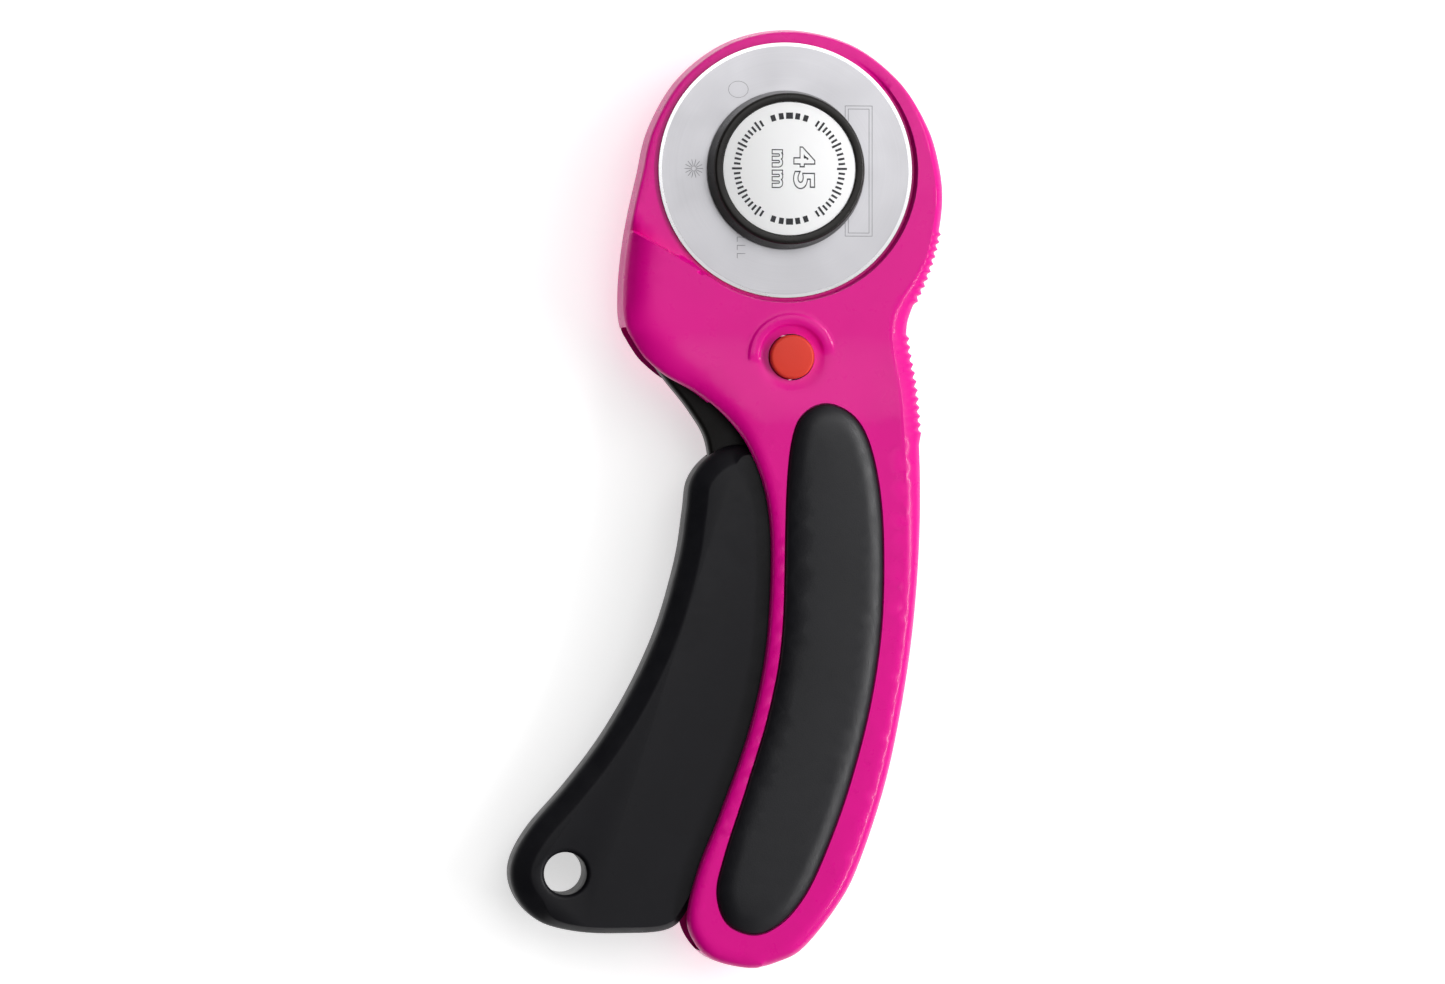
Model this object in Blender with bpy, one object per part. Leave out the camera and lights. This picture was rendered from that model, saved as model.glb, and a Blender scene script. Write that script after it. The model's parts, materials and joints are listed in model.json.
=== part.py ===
"""Rotary cutter for fabric, lying on its back: blade up, finger nut down.

The blade axis is the Z axis and the table is z = 0. The head points towards +Y, the handle towards -Y.
The body is a U-channel made of two moulded shells, open along its left edge. A sprung lever pivots in
the chin, carries the blade bolt at its upper end and the squeeze grip at its lower end.
All driving dimensions below are in millimetres; objects are built in metres.
"""
import bpy
import bmesh
from math import atan2, cos, degrees, hypot, pi, radians, sin, sqrt
from mathutils import Matrix, Vector
from mathutils.geometry import delaunay_2d_cdt

MM = 0.001
FIT_GAP = 0.3           # clearance between pieces that touch
SHARP_ANGLE = radians(32)

# Levels through the thickness; the body is symmetric about MID_Z
MID_Z = 10.0
HEAD_FACE_Z = 15.0      # outer face of the head plate, under the blade
CHIN_FACE_Z = 17.0
HANDLE_FACE_Z = 18.5
HEAD_INNER_Z = 13.2     # inner faces of the front wall
CHIN_INNER_Z = 15.0
HANDLE_INNER_Z = 16.5
PAD_FLOOR_Z = 17.4
PAD_EDGE_Z = 18.8
PAD_CROWN_Z = 20.0
PAD_CROWN_WIDTH = 5.0
SHELL_SPLIT_GAP = 0.3
WALL = 2.2

# Blade, bolt stack and nut
BLADE_RADIUS = 22.5
BLADE_BEVEL = 1.1
BLADE_HOLE_RADIUS = 4.0
BLADE_Z = (15.3, 15.6)
KNOB_RADIUS = 14.0
KNOB_TOP_RADIUS = 13.35
KNOB_Z = (15.9, 21.5)
LABEL_RADIUS = 11.7
STUD_RADIUS = 2.5
NUT_RADIUS = 11.0
NUT_TOP_Z = 3.5
NUT_LOBES = 9

# Lever
PIVOT = (-21.1, -22.9)
LEVER_SWING = radians(13.0)
ARM_Z = (7.5, 12.5)
GRIP_Z = (4.0, 16.0)
PIN_RADIUS = 2.0
BOSS_RADIUS = 3.9
WIRE_RADIUS = 0.24
COIL_RADIUS = 4.85
SPRING_TURNS = 1.9
SPRING_START = radians(-100)
SPRING_FOOT_RADIUS = 6.6
SPRING_FOOT_ANGLE = SPRING_START - 0.62
SPRING_FOOT = (PIVOT[0] + SPRING_FOOT_RADIUS * cos(SPRING_FOOT_ANGLE),
               PIVOT[1] + SPRING_FOOT_RADIUS * sin(SPRING_FOOT_ANGLE))
PIN_Z = (4.6, 15.4)
SLEEVE_RADIUS = 4.1
STUD_Z = (1.5, 19.0)
LABEL_Z = (20.9, 21.2)
INSERT_RADIUS = 5.1
CLIP_Z = (5.5, 6.4)
CLIP_RADII = (4.25, 5.4)
HANG_HOLE = (-39.0, -123.9)
HANG_HOLE_RADIUS = 3.75

# Lock button, pushed through both walls
BUTTON = (0.9, -33.0)
BUTTON_RADIUS = 3.9
BUTTON_NECK_RADIUS = 2.3
BUTTON_Z = (3.4, 18.5)
BUTTON_NECK_Z = (7.0, 13.0)
LOCK_HOLE_RADIUS = 4.25
DIMPLE_DEPTH = 0.4

GUARD_TOP_ANGLE = 62      # above this the head's rim is level with the blade's seat
SLOT_TOP_Y = -28.0        # the left wall is open from here down to SLOT_END_Y
SLOT_END_Y = -137.5
RECESS_RADIUS = 23.25   # step wall round the lower half of the blade
CREASE_START = (-27.8, -10.6)
CREASE_END = (-12.5, -19.6)
CREASE_DIRECTION = (0.862, -0.507)
CREASE_WEDGE = [(-34.0, -8.7), (-11.0, -22.2), (-11.0, 0.0), (-34.0, 0.0)]  # solid wall behind the crease

# Control points of the outlines, counter-clockwise
BODY_OUTLINE = [
    (-6.5, -140.9), (-1.2, -139.8), (3.2, -137.4), (8.9, -130.5), (12.8, -123.4), (17.6, -109.3),
    (20.7, -95.2), (22.8, -81.0), (23.9, -67.0), (24.1, -54.0), (23.4, -40.0), (22.2, -32.0),
    (21.9, -28.0), (22.8, -24.5), (25.3, -18.8), (27.3, -12.0), (28.2, -5.0), (27.5, 1.5),
    (25.4, 8.5), (20.6, 16.3), (12.0, 22.7), (0.9, 25.1), (-9.8, 22.9), (-18.6, 16.4),
    (-23.9, 7.5), (-26.0, -1.0), (-27.6, -8.0), (-28.7, -14.5), (-29.3, -21.5), (-29.0, -27.0),
    (-27.0, -31.7), (-22.2, -36.3), (-16.0, -39.9), (-10.4, -44.8), (-6.6, -50.5), (-4.0, -58.5),
    (-3.3, -69.0), (-4.2, -84.6), (-7.2, -98.7), (-12.2, -112.9), (-16.2, -123.0), (-18.0, -130.8),
    (-17.0, -135.4), (-13.4, -139.2)]
PAD_OUTLINE = [
    (-5.7, -134.7), (-1.0, -132.6), (3.2, -127.6), (6.8, -120.0), (10.8, -109.0), (14.5, -95.0),
    (16.6, -81.0), (17.0, -67.0), (16.3, -56.4), (14.4, -48.0), (11.6, -43.4), (7.2, -41.3),
    (3.2, -42.8), (1.0, -47.0), (-0.1, -57.0), (-0.8, -81.0), (-3.1, -95.0), (-7.3, -109.0),
    (-11.2, -121.0), (-12.5, -127.6), (-10.6, -132.8)]
GRIP_OUTLINE = [
    (-29.0, -134.6), (-20.6, -133.9), (-16.8, -129.8), (-12.8, -121.0), (-7.6, -108.5), (-3.6, -96.0),
    (-1.2, -82.0), (-0.2, -68.0), (-0.6, -56.0), (-2.6, -50.6), (-8.2, -48.4), (-13.1, -50.2),
    (-16.6, -54.4), (-17.5, -60.0), (-18.5, -67.0), (-20.2, -74.0), (-22.4, -81.0), (-25.4, -88.0),
    (-29.1, -95.0), (-33.6, -102.0), (-39.1, -109.0), (-45.5, -116.4), (-48.5, -122.6),
    (-47.6, -128.0), (-43.6, -132.3), (-37.0, -134.2)]
ARM_OUTLINE = [
    (6.6, 0.0), (4.7, 4.7), (0.0, 6.6), (-4.7, 4.7), (-10.0, -1.6), (-17.6, -12.0), (-23.4, -17.6),
    (-26.0, -21.4), (-26.0, -25.0), (-25.8, -28.6), (-24.0, -32.4), (-21.2, -36.6), (-16.7, -42.3),
    (-13.6, -48.0), (-13.2, -56.0), (-14.6, -68.0), (-16.0, -78.0), (-14.6, -82.0), (-10.2, -82.2),
    (-8.4, -78.0), (-6.4, -66.0), (-4.0, -54.0), (1.2, -44.6), (6.2, -38.4), (7.4, -32.0),
    (4.8, -26.0), (2.0, -16.0), (4.6, -6.0)]
TONGUE_TOP_Y = -46.0    # the arm's tongue fills the grip's pocket below this line

# Spine ribs: first and last y and the number of ribs in each group
RIB_GROUPS = [(-10.6, -23.6, 10), (-28.9, -47.2, 12)]
RIB_HEIGHT = 0.45

COLOURS = {
    "magenta": ((0.62, 0.012, 0.27, 1), 0.42, 0.0),
    "black_plastic": ((0.018, 0.018, 0.021, 1), 0.45, 0.0),
    "black_rubber": ((0.028, 0.028, 0.032, 1), 0.7, 0.0),
    "orange": ((0.72, 0.062, 0.04, 1), 0.4, 0.0),
    "steel": ((0.62, 0.61, 0.64, 1), 0.28, 1.0),
    "label": ((0.86, 0.86, 0.88, 1), 0.5, 0.0),
    "brass": ((0.65, 0.47, 0.18, 1), 0.35, 1.0),
    "spring_steel": ((0.45, 0.45, 0.47, 1), 0.35, 1.0),
    "nylon": ((0.75, 0.74, 0.70, 1), 0.5, 0.0)}


def clear_scene():
    for obj in list(bpy.data.objects):
        bpy.data.objects.remove(obj, do_unlink=True)


def material(name, slot):
    colour, roughness, metallic = COLOURS[slot]
    mat = bpy.data.materials.new(name)
    mat.use_nodes = True
    mat.diffuse_color = colour
    bsdf = mat.node_tree.nodes["Principled BSDF"]
    bsdf.inputs["Base Color"].default_value = colour
    bsdf.inputs["Roughness"].default_value = roughness
    bsdf.inputs["Metallic"].default_value = metallic
    return mat


# ---------------------------------------------------------------- outline helpers, in millimetres
def smooth_closed(points, steps=3):
    """Closed Catmull-Rom curve through the points, with `steps` vertices for each span."""
    curve = []
    count = len(points)
    for i in range(count):
        p0, p1, p2, p3 = (Vector(points[(i + k - 1) % count]) for k in range(4))
        for s in range(steps):
            t = s / steps
            curve.append(0.5 * (2 * p1 + (p2 - p0) * t + (2 * p0 - 5 * p1 + 4 * p2 - p3) * t * t
                                + (3 * p1 - p0 - 3 * p2 + p3) * t ** 3))
    return curve


def offset_closed(curve, distance):
    """Moves a counter-clockwise curve inwards by distance, vertex by vertex."""
    count = len(curve)
    moved = []
    for i, p in enumerate(curve):
        before = (p - curve[i - 1]).normalized()
        after = (curve[(i + 1) % count] - p).normalized()
        tangent = (before + after).normalized()
        stretch = max(0.5, tangent.dot(after))
        moved.append(p + Vector((-tangent.y, tangent.x)) * distance / stretch)
    return moved


def circle(cx, cy, radius, count=48, start=0.0):
    return [Vector((cx + radius * cos(start + 2 * pi * i / count), cy + radius * sin(start + 2 * pi * i / count)))
            for i in range(count)]


def edge_distance(p, curve):
    """Distance from p to the closed curve."""
    best = 1e9
    for i, a in enumerate(curve):
        b = curve[i - 1]
        ab = b - a
        t = max(0.0, min(1.0, (p - a).dot(ab) / max(ab.length_squared, 1e-12)))
        best = min(best, (p - a - ab * t).length)
    return best


def inside(p, curve):
    hit = False
    for i, a in enumerate(curve):
        b = curve[i - 1]
        if (a.y > p.y) != (b.y > p.y) and p.x < (b.x - a.x) * (p.y - a.y) / (b.y - a.y) + a.x:
            hit = not hit
    return hit


def smoothstep(t):
    t = max(0.0, min(1.0, t))
    return t * t * (3 - 2 * t)


# ---------------------------------------------------------------- solid helpers
def new_object(name, bm, slot=None):
    bmesh.ops.recalc_face_normals(bm, faces=bm.faces)
    mesh = bpy.data.meshes.new(name)
    bm.to_mesh(mesh)
    bm.free()
    mesh.shade_smooth()
    mesh.set_sharp_from_angle(angle=SHARP_ANGLE)
    obj = bpy.data.objects.new(name, mesh)
    bpy.context.scene.collection.objects.link(obj)
    if slot:
        mesh.materials.append(material(name, slot))
    return obj


def loft_mesh(rings, name="cutter", slot=None):
    """Closed solid through rings of (points, z) or of 3-D points, all with the same vertex count."""
    bm = bmesh.new()
    levels = []
    for ring in rings:
        if isinstance(ring, tuple):
            points, z = ring
            ring = [Vector((p.x, p.y, z)) for p in points]
        levels.append([bm.verts.new(v * MM) for v in ring])
    for low, high in zip(levels, levels[1:]):
        count = len(low)
        for i in range(count):
            bm.faces.new((low[i], low[(i + 1) % count], high[(i + 1) % count], high[i]))
    bm.faces.new(list(reversed(levels[0])))
    bm.faces.new(levels[-1])
    return new_object(name, bm, slot)


def prism(curve, z0, z1, name="cutter", slot=None):
    return loft_mesh([(curve, z0), (curve, z1)], name, slot)


def rounded_slab(curve, z0, z1, radius, name, slot, steps=3):
    """Extruded outline with quarter-round edges top and bottom."""
    rings = []
    for i in range(steps + 1):
        a = 0.5 * pi * i / steps
        rings.append((offset_closed(curve, radius * (1 - sin(a))), z0 + radius * (1 - cos(a))))
    for i in range(steps + 1):
        a = 0.5 * pi * (1 - i / steps)
        rings.append((offset_closed(curve, radius * (1 - sin(a))), z1 - radius * (1 - cos(a))))
    return loft_mesh(rings, name, slot)


def lathe(profile, name, slot, cx=0.0, cy=0.0, count=64):
    """Solid of revolution about a vertical axis; the profile is a closed loop of (radius, z)."""
    bm = bmesh.new()
    rings = []
    for radius, z in profile:
        if radius == 0:
            rings.append([bm.verts.new(Vector((cx, cy, z)) * MM)])
        else:
            rings.append([bm.verts.new(Vector((p.x, p.y, z)) * MM) for p in circle(cx, cy, radius, count)])
    for a, b in zip(rings, rings[1:] + rings[:1]):
        if len(a) == 1 and len(b) == 1:
            continue
        for i in range(count):
            j = (i + 1) % count
            if len(a) == 1:
                bm.faces.new((a[0], b[i], b[j]))
            elif len(b) == 1:
                bm.faces.new((a[i], b[0], a[j]))
            else:
                bm.faces.new((a[i], b[i], b[j], a[j]))
    return new_object(name, bm, slot)


def ring_profile(r_in, r_out, z0, z1, chamfer=0.0):
    c = chamfer
    if c == 0:
        return [(r_in, z0), (r_out, z0), (r_out, z1), (r_in, z1)]
    return [(r_in, z0), (r_out - c, z0), (r_out, z0 + c), (r_out, z1 - c), (r_out - c, z1), (r_in, z1)]


def combine(obj, others, operation):
    """Applies exact Booleans with the other solids, which are then removed."""
    for other in others:
        mod = obj.modifiers.new("bool", "BOOLEAN")
        mod.object = other
        mod.operation = operation
        mod.solver = "EXACT"
        bpy.context.view_layer.update()
        evaluated = obj.evaluated_get(bpy.context.evaluated_depsgraph_get())
        mesh = bpy.data.meshes.new_from_object(evaluated)
        obj.modifiers.clear()
        old = obj.data
        obj.data = mesh
        bpy.data.meshes.remove(old)
        bpy.data.objects.remove(other, do_unlink=True)
    return obj


def flip_z(obj, name, slot):
    """The same solid mirrored in the body's mid-plane."""
    bm = bmesh.new()
    bm.from_mesh(obj.data)
    for v in bm.verts:
        v.co.z = 2 * MID_Z * MM - v.co.z
    bmesh.ops.reverse_faces(bm, faces=bm.faces)
    return new_object(name, bm, slot)


# ---------------------------------------------------------------- body shells
def body_curve():
    """Body outline with the finger ribs standing out of the spine."""
    curve = []
    smooth = smooth_closed(BODY_OUTLINE, 4)
    for i, p in enumerate(smooth):
        q = smooth[(i + 1) % len(smooth)]
        pieces = 1
        for top, bottom, ribs in RIB_GROUPS:
            if p.x > 15 and bottom <= p.y <= top:
                pieces = max(1, round((q - p).length / (0.25 * (top - bottom) / ribs)))
        for k in range(pieces):
            r = p.lerp(q, k / pieces)
            side = (q - p).normalized()
            bump = 0.0
            for top, bottom, ribs in RIB_GROUPS:
                if r.x > 15 and bottom <= r.y <= top:
                    bump = RIB_HEIGHT * 0.5 * (1 - cos(2 * pi * ribs * (top - r.y) / (top - bottom)))
            curve.append(r + Vector((side.y, -side.x)) * bump)
    return curve


def below_crease(p):
    """Distance of p below the chin's crease line, negative on the blade's side."""
    sx, sy = CREASE_START
    ex, ey = CREASE_END
    return ((sy - p.y) * (ex - sx) - (sx - p.x) * (ey - sy)) / hypot(ex - sx, ey - sy)


def sweep_clearance(p):
    """Distance of p from everything the blade's edge passes over as the lever swings."""
    pivot = Vector(PIVOT)
    squeezed = Vector(turned((0, 0), LEVER_SWING))
    return min(p.length - BLADE_RADIUS, (p - squeezed).length - BLADE_RADIUS,
               pivot.length - BLADE_RADIUS - (p - pivot).length)


def raised(p):
    """0 at the level of the blade's seat, 1 where the chin and spine stand up round it."""
    radius = hypot(p.x, p.y)
    step = smoothstep((radius - RECESS_RADIUS) / 0.5) * smoothstep((GUARD_TOP_ANGLE - degrees(atan2(p.y, p.x))) / 75)
    along = CREASE_DIRECTION[0] * p.x + CREASE_DIRECTION[1] * p.y
    if p.x >= 0 or along > 0:
        return step
    crest = below_crease(p)
    if crest >= 0:
        return 1.0
    slope = -crest / (-crest + max(0.02, sweep_clearance(p) - 0.5))
    facet = 1 - smoothstep(slope)
    return facet + (step - facet) * smoothstep((along + 5) / 5)


def fillet_size(p):
    """(width, drop) of the edge rounding near p: wide on the chin's left edge, small on the head's rim."""
    up = raised(p)
    if p.x < 0:
        width, drop = 1.3 + 1.6 * up, 1.0 + 1.4 * up
        chin = smoothstep((-p.y - 8) / 6) * (1 - smoothstep((-p.y - 34) / 18))
        deep = 3.9 - 1.6 * smoothstep((-p.y - 21) / 7)
        width, drop = width + (6.0 - width) * chin, drop + (deep - drop) * chin
    else:
        elbow = smoothstep((-p.y - 14) / 12)
        width, drop = 1.3 + 0.3 * up + 1.5 * elbow, 1.0 + 0.6 * up + 0.8 * elbow
    handle = smoothstep((-p.y - 38) / 18)
    return width + (3.0 - width) * handle, drop + (2.3 - drop) * handle


def face_height(p, depth):
    """Outer height of the front shell at p, `depth` inside the outline."""
    base = CHIN_FACE_Z + (HANDLE_FACE_Z - CHIN_FACE_Z) * smoothstep((-30 - p.y) / 13)
    height = HEAD_FACE_Z + (base - HEAD_FACE_Z) * raised(p)
    dimple = (p - Vector(BUTTON)).length
    height -= DIMPLE_DEPTH * (1 - smoothstep((dimple - 4.6) / 1.6))
    width, drop = fillet_size(p)
    if depth < width:
        height -= drop * (1 - sqrt(max(0.0, 1 - (1 - depth / width) ** 2)))
    return height


def arc_points(radius, a0, a1, count):
    return [Vector((radius * cos(radians(a0 + (a1 - a0) * i / count)),
                    radius * sin(radians(a0 + (a1 - a0) * i / count)))) for i in range(count + 1)]


def shell_block(name, slot):
    """Front shell before hollowing: outline, rounded edge, blade recess step and button dimple."""
    outline = body_curve()
    points = [(p, 0.0) for p in outline]
    edges = [(i, (i + 1) % len(outline)) for i in range(len(outline))]
    coarse = smooth_closed(BODY_OUTLINE, 4)
    for depth in (0.3, 1.0, 2.2, 3.8, 6.0):
        points += [(p, depth) for p in offset_closed(coarse, depth)
                   if edge_distance(p, coarse) > depth - 0.1]

    def feature(curve, closed=False):
        start = len(points)
        points.extend((p, None) for p in curve)
        last = len(curve) if closed else len(curve) - 1
        edges.extend((start + i, start + (i + 1) % len(curve)) for i in range(last))

    feature(arc_points(RECESS_RADIUS - 0.3, GUARD_TOP_ANGLE, -200, 72))
    squeezed = Vector(turned((0, 0), LEVER_SWING))
    edge = [squeezed + p for p in arc_points(BLADE_RADIUS + 0.5, -104, -152, 16)]
    feature([p for p in edge if below_crease(p) < -0.2 and edge_distance(p, coarse) > 0.4 and inside(p, coarse)])
    feature(arc_points(RECESS_RADIUS, GUARD_TOP_ANGLE, -128, 48))
    feature(arc_points(RECESS_RADIUS + 0.5, GUARD_TOP_ANGLE, -128, 48))
    for radius in (4.6, 5.4, 6.2):
        feature(circle(*BUTTON, radius, 28), True)
    for y in range(-138, -26, 6):
        for x in range(-26, 26, 6):
            p = Vector((x, y))
            if inside(p, coarse) and edge_distance(p, coarse) > 7 and (p - Vector(BUTTON)).length > 8:
                points.append((p, None))
    sx, sy = CREASE_START
    ex, ey = CREASE_END
    for side in (-0.7, 0.0, 0.7):
        for i in range(7):
            p = Vector((sx + (ex - sx) * i / 6 - side * 0.5, sy + (ey - sy) * i / 6 - side * 0.86))
            if inside(p, coarse) and edge_distance(p, coarse) > 0.5 and p.length > RECESS_RADIUS + 0.7:
                points.append((p, None))
    flat = [p for p, _ in points]
    verts, _, faces, origin, _, _ = delaunay_2d_cdt(flat, edges, [list(range(len(outline)))], 1, 1e-4)
    known = {}
    for i, sources in enumerate(origin):
        for s in sources:
            if points[s][1] is not None:
                known[i] = points[s][1]
    bm = bmesh.new()
    top, bottom = [], []
    for i, p in enumerate(verts):
        depth = known.get(i)
        if depth is None:
            depth = edge_distance(p, coarse)
        top.append(bm.verts.new(Vector((p.x, p.y, face_height(p, depth))) * MM))
        bottom.append(bm.verts.new(Vector((p.x, p.y, MID_Z + SHELL_SPLIT_GAP / 2)) * MM))
    border = {}
    for face in faces:
        for k, a in enumerate(face):
            b = face[(k + 1) % len(face)]
            border[(a, b)] = border.get((a, b), 0) + 1
        bm.faces.new([top[k] for k in face])
    rim = [(a, b) for a, b in border if (b, a) not in border]
    following = dict(rim)
    loop = [rim[0][0]]
    while following[loop[-1]] != loop[0]:
        loop.append(following[loop[-1]])
    for k, a in enumerate(loop):
        b = loop[(k + 1) % len(loop)]
        bm.faces.new((top[b], top[a], bottom[a], bottom[b]))
    bm.faces.new([bottom[k] for k in loop])
    for k in set(range(len(verts))) - set(loop):
        bm.verts.remove(bottom[k])
    return new_object(name, bm, slot)


def clip_polygon(curve, a, b, c):
    """Keeps the part of a polygon where a*x + b*y <= c."""
    kept = []
    for i, p in enumerate(curve):
        q = curve[(i + 1) % len(curve)]
        fp, fq = a * p.x + b * p.y - c, a * q.x + b * q.y - c
        if fp <= 0:
            kept.append(p)
        if (fp < 0 < fq) or (fq < 0 < fp):
            kept.append(p.lerp(q, fp / (fp - fq)))
    return kept


def slot_curve(radius, count=10):
    """Arc slot swept by the stud about the pivot, from rest to full squeeze."""
    px, py = PIVOT
    reach, first = hypot(px, py), atan2(-py, -px)
    outer = [Vector((px + (reach + radius) * cos(first + LEVER_SWING * i / count),
                     py + (reach + radius) * sin(first + LEVER_SWING * i / count))) for i in range(count + 1)]
    inner = [Vector((px + (reach - radius) * cos(first + LEVER_SWING * i / count),
                     py + (reach - radius) * sin(first + LEVER_SWING * i / count))) for i in range(count + 1)]
    end = Vector((px + reach * cos(first + LEVER_SWING), py + reach * sin(first + LEVER_SWING)))
    turn = first + LEVER_SWING
    far = [end + radius * Vector((cos(turn + pi * k / 8), sin(turn + pi * k / 8))) for k in range(1, 8)]
    near = [radius * Vector((cos(first + pi + pi * k / 8), sin(first + pi + pi * k / 8))) for k in range(1, 8)]
    return outer + far + list(reversed(inner)) + near


def left_wall_open(curve):
    """Pushes the cavity outline out through the body's left edge, below the chin."""
    return [Vector((p.x - 16, p.y)) if SLOT_END_Y < p.y < SLOT_TOP_Y and left_side(p) else p for p in curve]


def left_side(p):
    """True on the slot side of the handle's centre line."""
    return p.x < 10 + (p.y + 50) * 0.16 if p.y < -34 else p.x < -10


def front_shell():
    shell = shell_block("front_shell", "magenta")
    below = MID_Z - 2
    inner = offset_closed(smooth_closed(BODY_OUTLINE, 3), WALL)
    opened = left_wall_open(inner)
    handle = clip_polygon(opened, 0, 1, -41.0)
    chin = clip_polygon(clip_polygon(opened, 0, 1, -10.0), 0, -1, 60)
    head = clip_polygon(inner, 0, -1, 40)
    cutters = [prism(handle, below, HANDLE_INNER_Z), prism(head, below, HEAD_INNER_Z)]
    disc = prism(circle(0, 0, RECESS_RADIUS + 1.3, 64), below - 1, CHIN_INNER_Z + 1)
    wedge = prism([Vector(p) for p in CREASE_WEDGE], below - 2, CHIN_INNER_Z + 2)
    cutters.append(combine(prism(chin, below, CHIN_INNER_Z), [disc, wedge], "DIFFERENCE"))
    pad = offset_closed(smooth_closed(PAD_OUTLINE), -FIT_GAP)
    cutters.append(prism(pad, PAD_FLOOR_Z, PAD_CROWN_Z + 2))
    cutters.append(prism(slot_curve(STUD_RADIUS + 0.5), below, HEAD_FACE_Z + 2))
    combine(shell, cutters, "DIFFERENCE")
    boss = prism(circle(*PIVOT, BOSS_RADIUS, 32), ARM_Z[1] + 0.8, CHIN_INNER_Z + 0.5)
    combine(shell, [boss], "UNION")
    pin_hole = prism(circle(*PIVOT, PIN_RADIUS + 0.08, 32), below, CHIN_INNER_Z + 0.9)
    button_hole = prism(circle(*BUTTON, BUTTON_RADIUS + 0.25, 40), below, CHIN_FACE_Z + 4)
    return combine(shell, [pin_hole, button_hole], "DIFFERENCE")


# ---------------------------------------------------------------- pads
def grip_pad(name):
    curve = smooth_closed(PAD_OUTLINE)
    rings = [(curve, PAD_FLOOR_Z + FIT_GAP), (curve, PAD_EDGE_Z - 0.3)]
    for depth in (0.35, 1.2, 2.4, 3.7, 5.0):
        rise = 1 - (1 - depth / PAD_CROWN_WIDTH) ** 2
        rings.append((offset_closed(curve, depth), PAD_EDGE_Z + (PAD_CROWN_Z - PAD_EDGE_Z) * rise))
    return loft_mesh(rings, name, "black_rubber")


# ---------------------------------------------------------------- lever
def turned(point, angle):
    """Point carried round the pivot by angle."""
    x, y = point[0] - PIVOT[0], point[1] - PIVOT[1]
    return (PIVOT[0] + x * cos(angle) - y * sin(angle), PIVOT[1] + x * sin(angle) + y * cos(angle))


def lever_arm():
    curve = smooth_closed(ARM_OUTLINE)
    arm = rounded_slab(curve, *ARM_Z, 0.6, "lever_arm", "black_plastic", 2)
    low, high = ARM_Z[0] - 1, ARM_Z[1] + 1
    holes = [prism(circle(0, 0, SLEEVE_RADIUS + 0.2, 40), low, high),
             prism(circle(*PIVOT, PIN_RADIUS + 0.06, 40), low, high),
             prism(circle(*BUTTON, LOCK_HOLE_RADIUS, 40), low, high),
             prism(circle(*turned(BUTTON, -LEVER_SWING), LOCK_HOLE_RADIUS, 40, 0.03), low, high),
             prism(circle(*SPRING_FOOT, WIRE_RADIUS + FIT_GAP, 16), ARM_Z[1] - 1.8, high)]
    return combine(arm, holes, "DIFFERENCE")


def lever_grip():
    grip = rounded_slab(smooth_closed(GRIP_OUTLINE), *GRIP_Z, 2.4, "lever_grip", "black_plastic", 4)
    pocket = clip_polygon(offset_closed(smooth_closed(ARM_OUTLINE), -FIT_GAP), 0, 1, TONGUE_TOP_Y)
    cutters = [prism(pocket, ARM_Z[0] - FIT_GAP, ARM_Z[1] + FIT_GAP),
               lathe([(0, GRIP_Z[0] - 1), (HANG_HOLE_RADIUS + 1.6, GRIP_Z[0] - 1),
                      (HANG_HOLE_RADIUS, GRIP_Z[0] + 0.7), (HANG_HOLE_RADIUS, GRIP_Z[1] - 0.7),
                      (HANG_HOLE_RADIUS + 1.6, GRIP_Z[1] + 1), (0, GRIP_Z[1] + 1)],
                     "cutter", None, *HANG_HOLE, count=40)]
    return combine(grip, cutters, "DIFFERENCE")


def tube(path, radius, name, slot, sides=8):
    """Round wire along a 3-D path."""
    rings = []
    side = None
    for i, p in enumerate(path):
        ahead = path[min(i + 1, len(path) - 1)] - path[max(i - 1, 0)]
        ahead.normalize()
        side = ahead.orthogonal() if side is None else side - ahead * side.dot(ahead)
        side.normalize()
        up = side.cross(ahead)
        rings.append([p + radius * (side * cos(2 * pi * k / sides) + up * sin(2 * pi * k / sides))
                      for k in range(sides)])
    wire = loft_mesh(rings, name, slot)
    bm = bmesh.new()
    bm.from_mesh(wire.data)
    bmesh.ops.triangulate(bm, faces=bm.faces)
    bm.to_mesh(wire.data)
    bm.free()
    return wire


def return_spring():
    """Torsion spring round the boss: one leg in the arm, the other against the chin wall."""
    px, py = PIVOT
    z0, z1 = ARM_Z[1] + 0.75, CHIN_INNER_Z - 0.65
    fx, fy = SPRING_FOOT
    path = [Vector((fx, fy, ARM_Z[1] - 1.2)), Vector((fx, fy, ARM_Z[1] + 0.1)), Vector((fx, fy, z0 - 0.1))]
    count = int(22 * SPRING_TURNS)
    for i in range(count + 1):
        a = SPRING_START + 2 * pi * SPRING_TURNS * i / count
        path.append(Vector((px + COIL_RADIUS * cos(a), py + COIL_RADIUS * sin(a), z0 + (z1 - z0) * i / count)))
    a = SPRING_START + 2 * pi * SPRING_TURNS
    end = path[-1]
    for reach in (1.5, 4.5):
        path.append(Vector((end.x - reach * sin(a), end.y + reach * cos(a), z1)))
    return tube(path, WIRE_RADIUS, "return_spring", "spring_steel")


# ---------------------------------------------------------------- bolt stack
def blade():
    z0, z1 = BLADE_Z
    mid = 0.5 * (z0 + z1)
    flat = BLADE_RADIUS - BLADE_BEVEL
    profile = [(BLADE_HOLE_RADIUS, z0), (flat, z0), (BLADE_RADIUS, mid - 0.01), (BLADE_RADIUS, mid + 0.01),
               (flat, z1), (BLADE_HOLE_RADIUS, z1)]
    return lathe(profile, "blade", "steel", count=96)


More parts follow.
